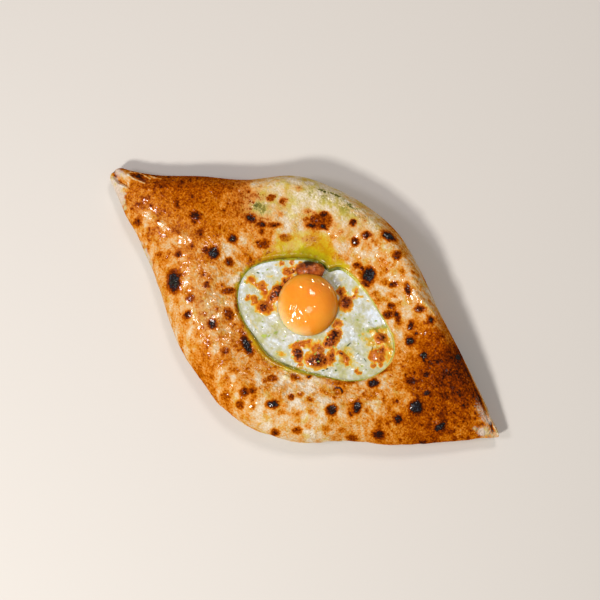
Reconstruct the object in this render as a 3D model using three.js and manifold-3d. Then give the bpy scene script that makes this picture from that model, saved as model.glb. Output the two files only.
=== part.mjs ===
// Adjarian khachapuri: a boat of baked bread dough, pinched to a point at both ends, with an oval
// eye in the middle that is full of herbed cheese and carries one egg yolk.
// Millimetres, +Z up. X runs along the boat from the curled tip (-X) to the sharp tip (+X), and the
// origin is at the middle of the footprint, on the surface that the bread rests on.

import * as THREE from "three";
import { mergeVertices } from "three/addons/utils/BufferGeometryUtils.js";
import Module from "manifold-3d";

const wasm = await Module();
wasm.setup();

// ---------------------------------------------------------------- driving dimensions

const LOAF_LENGTH = 292.5;
const HALF_LENGTH = LOAF_LENGTH / 2;
// Half widths on either side of the line from tip to tip, at even steps from the -X tip to the +X tip.
const FAR_HALF_WIDTHS = [5.5, 15, 30.5, 44, 63.5, 71, 73, 70, 58.5, 43.5, 30, 16, 2];
const NEAR_HALF_WIDTHS = [4, 17.5, 29.5, 47, 64.5, 75, 82, 80.5, 71.5, 54, 40, 21, 2];
const TIP_LINE_Y = 4.7; // the near side is fuller, so the line between the tips is off the middle
const TIP_ROUND = 5; // length over which a tip's outline closes
const TIP_DOME = 16; // length over which a tip rises to its ridge
const TIP_CROWDING = 0.62; // how strongly the outline's steps shorten towards the tips, from 0 to 1

const EDGE_HEIGHT = 9; // height of the widest line of the side wall
const UNDERCUT = 7; // how far the base is set in from that line
// Height of the ridge above the base, at the same kind of even steps.
const RIDGE_HEIGHTS = [12, 20, 25, 28.5, 30, 30.5, 30, 28.5, 26, 20, 10];
// Width over which the top rounds down to the side wall. The far side was folded over and stands
// steeper, so its ridge lies close to the edge, and the top leans from there to the near side.
const FAR_SHOULDER = 14;
const NEAR_SHOULDER = 40;
const LEAN = 1.2; // how much higher the far edge of the top is than its middle
// Swells of hand-stretched dough. Each is its height times two waves, and a wave is the sine of
// x / stepX + y / stepY + start.
const DOUGH_SWELLS = [
  {
    height: 0.9,
    waves: [{ stepX: 19, stepY: Infinity, start: 1.3 }, { stepX: Infinity, stepY: 15, start: 0.4 }],
  },
  {
    height: 0.6,
    waves: [{ stepX: 9.5, stepY: -12, start: 2 }, { stepX: 23, stepY: 10.5, start: 0 }],
  },
];

const EYE = { x: 13, y: -0.6, length: 101.5, width: 66.8, turn: THREE.MathUtils.degToRad(5.4) };
// How its hem swings from an even oval: waves in one round, share of the radius, and where they start.
const EYE_HEM = [
  { waves: 4, share: 0.032, phase: 0 },
  { waves: 3, share: 0.025, phase: 0.46 },
  { waves: 6, share: 0.006, phase: -1.55 },
  { waves: 9, share: 0.008, phase: -2.2 },
];
// The place where the dough's lip runs out over the cheese.
const EYE_NOTCH = { angle: THREE.MathUtils.degToRad(108), reach: 3.4, spread: 0.11 };
const LIP_HEIGHT = 22.5; // crust height at the rim of the eye
const LIP_ROUND = 3; // radius of that rim
const BASIN_WIDTH = 34; // width of the slope from the ridge down to the eye
const OIL_HOLLOW = { x: -9, y: 43, length: 32, width: 11, depth: 2.6 };
// The well under the cheese: its floor, how far below the lip's height its wall starts, how much that
// wall narrows downwards, and the bevel between wall and floor.
const WELL = { floor: 7, start: 4.8, narrows: 1.8, bevelWidth: 3.2, bevelHeight: 3 };

const CLEARANCE = 0.35; // air between pieces that touch
const WALL_CLEARANCE = 0.8; // the same at the well's wall, where the facets of both are long
const FILLING_LEVEL = 19.6;
const FILLING_EDGE = { below: 2.2, rounded: 0.7 }; // depths of the two rings under its rounded edge
const FILLING_SWELLS = [
  {
    height: 0.5,
    waves: [{ stepX: 11, stepY: Infinity, start: 0.5 }, { stepX: Infinity, stepY: 9, start: 1.1 }],
  },
];
// A fold of cheese across the +X end, which fades out between full and start.
const FOLD = { x: 50, y: 13, slope: 0.28, width: 1.8, rise: 1.1, start: 36, full: 48 };

const YOLK = { x: 4.7, y: 4, radius: 19, rise: 13.5, sink: 4, level: 20.6, bulge: 0.9 };
const YOLK_HEM = [
  { waves: 2, share: 0.012, phase: -0.67 },
  { waves: 3, share: 0.008, phase: -1.57 },
];
const CURD = { x: -6.2, y: 22.5, z: 21.4, length: 18.5, width: 11, height: 9, turn: 0.62 };
// How the curd swells: share of its size, and waves along its length, width and height.
const CURD_SWELLS = [
  { share: 0.04, along: 3, across: 2, up: 0, start: 0.6 },
  { share: 0.03, along: 0, across: 4, up: 3, start: 0 },
];

// The -X tip is twisted into a small curl, with a seam along its near side.
const TIP_CURL = { x: -138.5, y: 8, length: 9, width: 4.5, rise: 2.4 };
const TIP_SEAM = { y: 3.4, width: 1.9, depth: 2.8, end: -127, fade: 8 };

// Dough bubbles large enough to be felt: place, radius and height.
const BLISTERS = [
  { x: -71, y: -31, radius: 7, height: 1.6 },
  { x: -60, y: -2, radius: 6, height: 1.2 },
  { x: 24, y: 40, radius: 7, height: 1.5 },
  { x: 22, y: 67, radius: 6, height: 1.2 },
  { x: -18, y: 50, radius: 8, height: 1.6 },
  { x: 95, y: -11, radius: 7, height: 1.3 },
  { x: 112, y: -11, radius: 6, height: 1.2 },
  { x: 53, y: -41, radius: 6, height: 1.2 },
  { x: 65, y: -31, radius: 6, height: 1.2 },
  { x: 23, y: -59, radius: 5, height: 1.2 },
  { x: -33, y: -28, radius: 6, height: 1.1 },
  { x: -11, y: -37, radius: 5, height: 1 },
];
// Toasted knobs of cheese that stand up from the filling.
const CHEESE_KNOBS = [
  { x: -16.5, y: -12.6, radius: 6.5, height: 1.6 },
  { x: -23.3, y: -12.4, radius: 4, height: 0.9 },
  { x: -16, y: 0.5, radius: 5.5, height: 1.4 },
  { x: 28.3, y: -4.1, radius: 6.5, height: 2 },
  { x: 28, y: -20.4, radius: 8, height: 2.2 },
  { x: 15.9, y: -23.7, radius: 5.5, height: 1.7 },
  { x: 38.5, y: -9, radius: 5, height: 1.2 },
  { x: 23, y: 17.6, radius: 6, height: 1.8 },
  { x: 57.8, y: 3.6, radius: 6.5, height: 1.6 },
  { x: 53.2, y: 12.8, radius: 4, height: 1.2 },
];

// Numbers of facets: round each piece, and up each curved wall. The top of the crust and of the
// cheese have rings at these shares of the way: from the loaf's edge in to the eye, and from the
// eye's middle out to its hem.
const CRUST_AROUND = 120;
const CRUST_WALL_STEPS = 4;
const CRUST_SHARES = [0.012, 0.035, 0.07, 0.115, 0.17, 0.235, 0.31, 0.39, 0.47, 0.55, 0.63, 0.71, 0.79,
  0.86, 0.915, 0.955, 0.985];
const LIP_RING = 0.25; // distance of the lip's innermost ring from the hem
const FILLING_AROUND = 84;
const FILLING_SHARES = [0.985, 0.95, 0.89, 0.82, 0.74, 0.66, 0.58, 0.5, 0.42, 0.33, 0.24, 0.14];
const YOLK_AROUND = 36;
const YOLK_STEPS = 14;
const CURD_AROUND = 22;
const CURD_STEPS = 14;
const SAME_POINT = 1e-4; // points closer than this are one

// ---------------------------------------------------------------- small maths

const smooth = (from, to, value) => THREE.MathUtils.smoothstep(value, from, to);

// Quarter-circle rise from 0 to 1 as value goes from 0 to width, then level.
function quarterRound(value, width) {
  const left = 1 - THREE.MathUtils.clamp(value / width, 0, 1);
  return Math.sqrt(1 - left * left);
}

// Catmull-Rom curve through values at even steps, read at share 0 to 1 of the way along.
function alongSteps(values, share) {
  const last = values.length - 1;
  const place = THREE.MathUtils.clamp(share, 0, 1) * last;
  const i = Math.min(Math.floor(place), last - 1);
  const t = place - i;
  const [a, b, c, d] = [i - 1, i, i + 1, i + 2].map((k) => values[THREE.MathUtils.clamp(k, 0, last)]);
  const bend = 2 * a - 5 * b + 4 * c - d + (3 * b - a - 3 * c + d) * t;
  return b + 0.5 * t * (c - a + t * bend);
}

// Gauss's bell: 1 where the distance is 0, falling off over the width.
const bell = (distance, width) => Math.exp(-((distance / width) ** 2));

// An uneven circle: 1, plus waves that go round it.
function hem(waves, angle) {
  return waves.reduce((sum, wave) => sum + wave.share * Math.cos(wave.waves * angle + wave.phase), 1);
}

// Sum of swells, each its height times the product of its waves.
function swells(list, x, y) {
  const wave = ({ stepX, stepY, start }) => Math.sin(x / stepX + y / stepY + start);
  return list.reduce((sum, { height, waves }) => sum + height * wave(waves[0]) * wave(waves[1]), 0);
}

// Sum of low domes at their places, each a cosine bell.
function bumps(list, x, y) {
  return list.reduce((sum, bump) => {
    const reach = Math.hypot(x - bump.x, y - bump.y) / bump.radius;
    return reach < 1 ? sum + bump.height * 0.5 * (1 + Math.cos(Math.PI * reach)) : sum;
  }, 0);
}

// ---------------------------------------------------------------- the boat's outline and the eye

const lengthShare = (x) => (x + HALF_LENGTH) / LOAF_LENGTH;

// Distance from the tip line to the edge at x, on the far (+Y) or the near (-Y) side.
function halfWidth(x, far) {
  const toTip = HALF_LENGTH - Math.abs(x);
  const full = alongSteps(far ? FAR_HALF_WIDTHS : NEAR_HALF_WIDTHS, lengthShare(x));
  return full * quarterRound(toTip, TIP_ROUND);
}

// Closed outline as points [x, y], counter-clockwise from the +X tip. The steps shorten towards
// the tips, where the outline turns most.
function loafOutline(count) {
  const half = count / 2;
  return Array.from({ length: count }, (_, i) => {
    const far = i < half;
    const share = (i % half) / half;
    const eased = THREE.MathUtils.lerp(share, (1 - Math.cos(Math.PI * share)) / 2, TIP_CROWDING);
    const x = (far ? 1 : -1) * (HALF_LENGTH - LOAF_LENGTH * eased);
    return [x, TIP_LINE_Y + (far ? 1 : -1) * halfWidth(x, far)];
  });
}

// Radius of the eye in the direction angle: a turned ellipse with an uneven hem and one notch.
function eyeRadius(angle) {
  const local = angle - EYE.turn;
  const ellipse = 1 / Math.hypot(Math.cos(local) / (EYE.length / 2), Math.sin(local) / (EYE.width / 2));
  const off = Math.atan2(Math.sin(angle - EYE_NOTCH.angle), Math.cos(angle - EYE_NOTCH.angle));
  return ellipse * hem(EYE_HEM, angle) - EYE_NOTCH.reach * bell(off, EYE_NOTCH.spread);
}

// ---------------------------------------------------------------- the crust's surface

// Height of the dough without the slope into the eye.
function rimTop(x, y) {
  const across = y - TIP_LINE_Y;
  const far = across > 0;
  const width = Math.max(halfWidth(x, far), 0.01);
  const shoulder = Math.min(far ? FAR_SHOULDER : NEAR_SHOULDER, width);
  const round = quarterRound(width - Math.abs(across), shoulder);
  const ridge = alongSteps(RIDGE_HEIGHTS, lengthShare(x)) - EDGE_HEIGHT + (LEAN * across) / width;
  const dome = quarterRound(HALF_LENGTH - Math.abs(x), TIP_DOME);
  return EDGE_HEIGHT + (ridge + swells(DOUGH_SWELLS, x, y) + bumps(BLISTERS, x, y)) * round * dome;
}

// What the curl and the seam of the -X tip add to the height.
function tipCurl(x, y) {
  const curl = bell(x - TIP_CURL.x, TIP_CURL.length) * bell(y - TIP_CURL.y, TIP_CURL.width);
  const ends = 1 - smooth(TIP_SEAM.end - TIP_SEAM.fade, TIP_SEAM.end, x);
  return TIP_CURL.rise * curl - TIP_SEAM.depth * bell(y - TIP_SEAM.y, TIP_SEAM.width) * ends;
}

// Hollow in the far slope, where melted butter gathers.
function oilHollow(x, y) {
  const along = bell(x - OIL_HOLLOW.x, OIL_HOLLOW.length);
  return OIL_HOLLOW.depth * along * bell(y - OIL_HOLLOW.y, OIL_HOLLOW.width);
}

// Height of the crust at the distance past the rim of the eye.
function crustTop(x, y, pastEye) {
  const top = rimTop(x, y) + tipCurl(x, y);
  const climb = smooth(0, BASIN_WIDTH, pastEye);
  const lip = LIP_ROUND * (1 - quarterRound(pastEye, LIP_ROUND));
  return THREE.MathUtils.lerp(LIP_HEIGHT, top, climb) - oilHollow(x, y) * climb ** 0.5 - lip;
}

// ---------------------------------------------------------------- closed skins from rings

// A closed surface from rings of points, from a pole below to a pole above, all of one length.
function skinOf(bottom, rings, top) {
  const points = [bottom, ...rings.flat(), top];
  const count = rings[0].length;
  const index = [];
  const at = (ring, i) => 1 + ring * count + (i % count);
  for (let i = 0; i < count; i++) {
    index.push(0, at(0, i + 1), at(0, i));
    for (let ring = 0; ring + 1 < rings.length; ring++) {
      index.push(at(ring, i), at(ring, i + 1), at(ring + 1, i + 1));
      index.push(at(ring, i), at(ring + 1, i + 1), at(ring + 1, i));
    }
    index.push(at(rings.length - 1, i), at(rings.length - 1, i + 1), points.length - 1);
  }
  const geometry = new THREE.BufferGeometry();
  geometry.setAttribute("position", new THREE.Float32BufferAttribute(points.flat(), 3));
  geometry.setIndex(index);
  return geometry;
}

// The crust: flat base, rolled side wall, rim, slope to the eye, and the well below it.
function crustGeometry() {
  const rays = loafOutline(CRUST_AROUND).map(([x, y]) => {
    const angle = Math.atan2(y - EYE.y, x - EYE.x);
    return { angle, edge: Math.hypot(x - EYE.x, y - EYE.y), eye: eyeRadius(angle) };
  });
  const onRay = (ray, distance, z) => [
    EYE.x + distance * Math.cos(ray.angle),
    EYE.y + distance * Math.sin(ray.angle),
    z,
  ];
  const ring = (distance, height) => rays.map((ray) => onRay(ray, distance(ray), height(ray)));
  const topRing = (distance) =>
    ring(distance, (ray) => {
      const [x, y] = onRay(ray, distance(ray), 0);
      return crustTop(x, y, distance(ray) - ray.eye);
    });

  const rings = [];
  for (let step = 0; step <= CRUST_WALL_STEPS; step++) {
    const turn = (step / CRUST_WALL_STEPS) * (Math.PI / 2);
    const inset = UNDERCUT * (1 - Math.sin(turn));
    rings.push(ring((ray) => ray.edge - inset, () => EDGE_HEIGHT * (1 - Math.cos(turn))));
  }
  for (const share of CRUST_SHARES) {
    rings.push(topRing((ray) => THREE.MathUtils.lerp(ray.edge, ray.eye, share)));
  }
  rings.push(topRing((ray) => ray.eye + LIP_RING));
  rings.push(ring((ray) => ray.eye, () => LIP_HEIGHT - WELL.start));
  rings.push(ring((ray) => ray.eye - WELL.narrows, () => WELL.floor + WELL.bevelHeight));
  rings.push(ring((ray) => ray.eye - WELL.narrows - WELL.bevelWidth, () => WELL.floor));
  return skinOf([EYE.x, EYE.y, 0], rings, [EYE.x, EYE.y, WELL.floor]);
}

// ---------------------------------------------------------------- the cheese in the eye

// Height of the cheese: nearly level, with toasted knobs and one fold towards the +X end.
function fillingTop(x, y) {
  const acrossFold = y - FOLD.y + FOLD.slope * (x - FOLD.x);
  const fold = FOLD.rise * bell(acrossFold, FOLD.width) * smooth(FOLD.start, FOLD.full, x);
  return FILLING_LEVEL + swells(FILLING_SWELLS, x, y) + fold + bumps(CHEESE_KNOBS, x, y);
}

// The cheese follows the well's floor, bevel and wall, and ends in its uneven top.
function fillingGeometry() {
  const ring = (inset, share, height) =>
    Array.from({ length: FILLING_AROUND }, (_, i) => {
      const angle = (2 * Math.PI * i) / FILLING_AROUND;
      const distance = (eyeRadius(angle) - inset) * share;
      const x = EYE.x + distance * Math.cos(angle);
      const y = EYE.y + distance * Math.sin(angle);
      return [x, y, height(x, y)];
    });
  const floor = WELL.floor + CLEARANCE;
  const wall = WELL.narrows + WALL_CLEARANCE;
  const rings = [
    ring(wall + WELL.bevelWidth, 1, () => floor),
    ring(wall, 1, () => floor + WELL.bevelHeight),
    ring(WALL_CLEARANCE, 1, () => FILLING_LEVEL - FILLING_EDGE.below),
    ring(WALL_CLEARANCE, 1, () => FILLING_LEVEL - FILLING_EDGE.rounded),
    ...FILLING_SHARES.map((share) => ring(WALL_CLEARANCE, share, fillingTop)),
  ];
  return skinOf([EYE.x, EYE.y, floor], rings, [EYE.x, EYE.y, fillingTop(EYE.x, EYE.y)]);
}

// ---------------------------------------------------------------- the yolk and the browned curd

// The yolk: a domed drop that bulges at its waist and sinks a little into the cheese.
function yolkGeometry(grow = 0) {
  const rings = [];
  for (let step = 1; step < YOLK_STEPS; step++) {
    const tilt = -Math.PI / 2 + (Math.PI * step) / YOLK_STEPS;
    const depth = tilt < 0 ? YOLK.sink : YOLK.rise;
    const radius = (YOLK.radius + grow) * Math.cos(tilt) ** YOLK.bulge;
    const z = YOLK.level + (depth + grow) * Math.sin(tilt);
    const ring = Array.from({ length: YOLK_AROUND }, (_, i) => {
      const angle = (2 * Math.PI * i) / YOLK_AROUND;
      const distance = radius * hem(YOLK_HEM, angle);
      return [YOLK.x + distance * Math.cos(angle), YOLK.y + distance * Math.sin(angle), z];
    });
    rings.push(ring);
  }
  const bottom = [YOLK.x, YOLK.y, YOLK.level - YOLK.sink - grow];
  const top = [YOLK.x, YOLK.y, YOLK.level + YOLK.rise + grow];
  return skinOf(bottom, rings, top);
}

// A curd of cheese that has swollen and browned against the yolk: an uneven egg shape.
function curdGeometry(grow = 0) {
  const geometry = mergeVertices(stripped(new THREE.SphereGeometry(1, CURD_AROUND, CURD_STEPS)));
  const position = geometry.getAttribute("position");
  for (let i = 0; i < position.count; i++) {
    const [x, y, z] = [position.getX(i), position.getY(i), position.getZ(i)];
    const lump = CURD_SWELLS.reduce((sum, swell) => {
      const wave = swell.along * x + swell.across * y + swell.up * z + swell.start;
      return sum + swell.share * Math.sin(wave);
    }, 1);
    position.setXYZ(
      i,
      x * (CURD.length / 2 + grow) * lump,
      y * (CURD.width / 2 + grow) * lump,
      z * (CURD.height / 2 + grow) * lump,
    );
  }
  return geometry.rotateZ(CURD.turn).translate(CURD.x, CURD.y, CURD.z);
}

// ---------------------------------------------------------------- cuts

function stripped(geometry) {
  return geometry.deleteAttribute("normal").deleteAttribute("uv");
}

function toSolid(geometry) {
  const merged = mergeVertices(geometry, SAME_POINT);
  return new wasm.Manifold(
    new wasm.Mesh({
      numProp: 3,
      vertProperties: merged.getAttribute("position").array,
      triVerts: new Uint32Array(merged.index.array),
    }),
  );
}

function toGeometry(solid) {
  const { vertProperties, triVerts } = solid.getMesh();
  const geometry = new THREE.BufferGeometry();
  geometry.setAttribute("position", new THREE.BufferAttribute(vertProperties, 3));
  geometry.setIndex(new THREE.BufferAttribute(triVerts, 1));
  return geometry;
}

// ---------------------------------------------------------------- the khachapuri

function piece(name, geometry, color, roughness) {
  geometry.computeVertexNormals();
  const mesh = new THREE.Mesh(geometry, new THREE.MeshStandardMaterial({ color, roughness, metalness: 0 }));
  mesh.name = name;
  return mesh;
}

const yolkRoom = toSolid(yolkGeometry(CLEARANCE));
const curdRoom = toSolid(curdGeometry(CLEARANCE));
const cheese = toSolid(fillingGeometry()).subtract(yolkRoom).subtract(curdRoom);
const curd = toSolid(curdGeometry()).subtract(yolkRoom);

const khachapuri = new THREE.Group();
khachapuri.add(
  piece("crust", crustGeometry(), 0xc98a45, 0.6),
  piece("cheese_filling", toGeometry(cheese), 0xdfe0c4, 0.4),
  piece("egg_yolk", yolkGeometry(), 0xfa9a2a, 0.2),
  piece("browned_curd", toGeometry(curd), 0x8a4a2c, 0.35),
);

export default khachapuri;
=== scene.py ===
"""Adjarian khachapuri: a boat of leavened dough with an eye of herbed cheese and one egg yolk.

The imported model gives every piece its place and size, and this script gives it its finish.
Shapes are worked out in millimetres and put into the meshes in metres.
"""

import bpy
import numpy as np
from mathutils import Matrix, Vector


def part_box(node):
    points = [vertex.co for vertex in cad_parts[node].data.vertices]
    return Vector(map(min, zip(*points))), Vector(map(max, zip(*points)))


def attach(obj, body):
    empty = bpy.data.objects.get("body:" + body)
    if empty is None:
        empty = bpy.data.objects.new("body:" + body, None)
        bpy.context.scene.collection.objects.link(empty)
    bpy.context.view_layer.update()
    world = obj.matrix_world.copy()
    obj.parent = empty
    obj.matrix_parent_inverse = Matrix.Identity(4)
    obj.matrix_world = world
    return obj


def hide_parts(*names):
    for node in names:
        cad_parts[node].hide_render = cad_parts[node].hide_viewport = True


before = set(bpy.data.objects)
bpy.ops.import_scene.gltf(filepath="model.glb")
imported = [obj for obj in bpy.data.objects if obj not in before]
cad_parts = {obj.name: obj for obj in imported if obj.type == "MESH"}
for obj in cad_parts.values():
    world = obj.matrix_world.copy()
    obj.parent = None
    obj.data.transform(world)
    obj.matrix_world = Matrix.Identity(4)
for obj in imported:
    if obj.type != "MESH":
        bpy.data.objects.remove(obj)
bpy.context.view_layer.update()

# ---------------------------------------------------------------- the crust
# The loaf: leavened wheat dough rolled out, its long edges rolled in and its two ends pinched.
# It is baked very hot, so thin places blister and char, and it is brushed with butter.

MM = 0.001
HALF_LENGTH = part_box("crust")[1][0] / MM
FAR_HALF_WIDTHS = [5.5, 15, 30.5, 44, 63.5, 71, 73, 70, 58.5, 43.5, 30, 16, 2]
NEAR_HALF_WIDTHS = [4, 17.5, 29.5, 47, 64.5, 75, 82, 80.5, 71.5, 54, 40, 21, 2]
TIP_LINE_Y = 4.7
TIP_ROUND = 5
TIP_DOME = 16
EDGE_HEIGHT = 9
UNDERCUT = 7
RIDGE_HEIGHTS = [12, 20, 25, 28.5, 30, 30.5, 30, 28.5, 26, 20, 10]
FAR_SHOULDER, NEAR_SHOULDER, LEAN = 14, 40, 1.2
EYE_X, EYE_Y = 13, -0.6
EYE_LENGTH, EYE_WIDTH, EYE_TURN = 101.5, 66.8, np.radians(5.4)
EYE_HEM = [(4, 0.032, 0), (3, 0.025, 0.46), (6, 0.006, -1.55), (9, 0.008, -2.2)]
NOTCH_ANGLE, NOTCH_REACH, NOTCH_SPREAD = np.radians(108), 3.4, 0.11
LIP_HEIGHT = 22.5
LIP_ROUND = 3
BASIN_WIDTH = 34
SWELL, SWELL_X, SWELL_REACH = 1.4, -97, 9  # where the near edge bulges a little
EDGE_SWAY, EDGE_SIZE = 0.5, 12  # how unevenly the loaf's edge runs
OIL_HOLLOW_X, OIL_HOLLOW_Y = -9, 43
OIL_HOLLOW_LENGTH, OIL_HOLLOW_WIDTH, OIL_HOLLOW_DEPTH = 32, 11, 2.6
WELL_FLOOR = 7
WELL_DRAFT = 3
CURL_X, CURL_Y, CURL_LENGTH, CURL_WIDTH, CURL_RISE = -138.5, 8, 9, 4.5, 2.4
SEAM_Y, SEAM_WIDTH, SEAM_DEPTH, SEAM_END = 3.4, 1.9, 2.8, -127
SEAM_BEND_START, SEAM_BEND = -138, 0.05
# Swells of hand-stretched dough: height, and two waves, each with its steps along x and y and its start.
DOUGH_SWELLS = [(0.9, (19, np.inf, 1.3), (np.inf, 15, 0.4)), (0.6, (9.5, -12, 2), (23, 10.5, 0))]
# Dough that puffed up: place, radius and height.
PUFFED = [
    (-71, -31, 7, 1.6), (-60, -2, 6, 1.2), (24, 40, 7, 1.5), (22, 67, 6, 1.2), (-18, 50, 8, 1.6),
    (95, -11, 7, 1.3), (112, -11, 6, 1.2), (53, -41, 6, 1.2), (65, -31, 6, 1.2), (23, -59, 5, 1.2),
    (-33, -28, 6, 1.1), (-11, -37, 5, 1),
]


def smooth(low, high, value):
    """0 below low and 1 above high, with 3t^2 - 2t^3 between."""
    t = np.clip((value - low) / (high - low), 0, 1)
    return t * t * (3 - 2 * t)


def bell(distance, width):
    """Gauss's bell: e to the minus (distance / width) squared."""
    return np.exp(-((distance / width) ** 2))


def quarter_round(value, width):
    """A quarter circle that rises from 0 to 1 as value goes from 0 to width, then stays level."""
    left = 1 - np.clip(value / width, 0, 1)
    return np.sqrt(1 - left * left)


def along_steps(values, share):
    """Catmull-Rom curve through values at even steps, read at the share 0 to 1 of the way along."""
    values = np.array(values, float)
    last = len(values) - 1
    place = np.clip(share, 0, 1) * last
    i = np.minimum(place.astype(int), last - 1)
    t = place - i
    a, b, c, d = (values[np.clip(i + k, 0, last)] for k in (-1, 0, 1, 2))
    return b + 0.5 * t * (c - a + t * (2 * a - 5 * b + 4 * c - d + (3 * b - a - 3 * c + d) * t))


def half_width(x, far):
    """Distance from the tip line to the loaf's edge at x, on the far side or the near side."""
    share = (x + HALF_LENGTH) / (2 * HALF_LENGTH)
    full = np.where(far, along_steps(FAR_HALF_WIDTHS, share), along_steps(NEAR_HALF_WIDTHS, share))
    return full * quarter_round(HALF_LENGTH - np.abs(x), TIP_ROUND)


def eye_radius(angle):
    """Radius of the eye: a turned ellipse times an uneven hem of cosines, less a bell at the notch."""
    local = angle - EYE_TURN
    ellipse = 1 / np.hypot(np.cos(local) / (EYE_LENGTH / 2), np.sin(local) / (EYE_WIDTH / 2))
    hem = 1 + sum(share * np.cos(waves * angle + phase) for waves, share, phase in EYE_HEM)
    off = np.angle(np.exp(1j * (angle - NOTCH_ANGLE)))
    return ellipse * hem - NOTCH_REACH * bell(off, NOTCH_SPREAD)


def out_from_eye(distance, angle):
    """Places at these distances from the middle of the eye."""
    return EYE_X + distance * np.cos(angle), EYE_Y + distance * np.sin(angle)


def lumps(x, y, size, seed):
    """Smooth unevenness from about -1 to 1: gradient noise on a seeded lattice of the given size."""
    turns = np.random.default_rng(seed).uniform(0, 2 * np.pi, (256, 256))
    u, v = x / size, y / size
    i, j = np.floor(u).astype(int), np.floor(v).astype(int)
    s, t = u - i, v - j

    def corner(a, b):
        turn = turns[(i + a) % 256, (j + b) % 256]
        return np.cos(turn) * (s - a) + np.sin(turn) * (t - b)

    ease_s, ease_t = (w**3 * (w * (w * 6 - 15) + 10) for w in (s, t))
    low = corner(0, 0) + (corner(1, 0) - corner(0, 0)) * ease_s
    high = corner(0, 1) + (corner(1, 1) - corner(0, 1)) * ease_s
    return 1.6 * (low + (high - low) * ease_t)


def rough(x, y, size, seed, octaves=3):
    """Lumps of the given size with finer ones on them, each half as large and half as high."""
    return sum(lumps(x, y, size / 2**k, seed + k) / 2**k for k in range(octaves))


def domes(x, y, places):
    """Sum of cosine domes, each from its height in the middle to nothing at its radius."""
    height = np.zeros_like(x)
    for at_x, at_y, radius, rise in places:
        away = np.clip(np.hypot(x - at_x, y - at_y) / radius, 0, 1)
        height = height + rise * 0.5 * (1 + np.cos(np.pi * away))
    return height


def loaf_top(x, y):
    """Height of the dough without the slope into the eye: the ridge's height, leaning up to the far
    side, rounded by a quarter circle over each shoulder and at both tips, with swells and domes."""
    across = y - TIP_LINE_Y
    far = across > 0
    width = np.maximum(half_width(x, far), 0.01)
    shoulder = np.minimum(np.where(far, FAR_SHOULDER, NEAR_SHOULDER), width)
    section = quarter_round(width - np.abs(across), shoulder)
    ridge = along_steps(RIDGE_HEIGHTS, (x + HALF_LENGTH) / (2 * HALF_LENGTH)) - EDGE_HEIGHT
    dome = quarter_round(HALF_LENGTH - np.abs(x), TIP_DOME)
    uneven = LEAN * across / width
    for height, *waves in DOUGH_SWELLS:
        first, second = (np.sin(x / step_x + y / step_y + start) for step_x, step_y, start in waves)
        uneven = uneven + height * (first * second)
    uneven = uneven + domes(x, y, PUFFED)
    return EDGE_HEIGHT + (ridge + uneven) * section * dome


def crust_top(x, y, past_eye):
    """Height of the crust: the loaf's top with the curled tip and its seam, sloping down to the
    eye's rounded lip, with a hollow in the far slope."""
    curl = bell(x - CURL_X, CURL_LENGTH) * bell(y - CURL_Y, CURL_WIDTH)
    seam_y = SEAM_Y + SEAM_BEND * np.maximum(SEAM_BEND_START - x, 0) ** 2
    seam = bell(y - seam_y, SEAM_WIDTH) * (1 - smooth(SEAM_END - 8, SEAM_END, x))
    top = loaf_top(x, y) + CURL_RISE * curl - SEAM_DEPTH * seam
    climb = smooth(0, BASIN_WIDTH, past_eye)
    hollow = bell(x - OIL_HOLLOW_X, OIL_HOLLOW_LENGTH) * bell(y - OIL_HOLLOW_Y, OIL_HOLLOW_WIDTH)
    lip = LIP_ROUND * (1 - quarter_round(past_eye, LIP_ROUND))
    return LIP_HEIGHT + (top - LIP_HEIGHT) * climb - OIL_HOLLOW_DEPTH * hollow * climb**0.5 - lip


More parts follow.
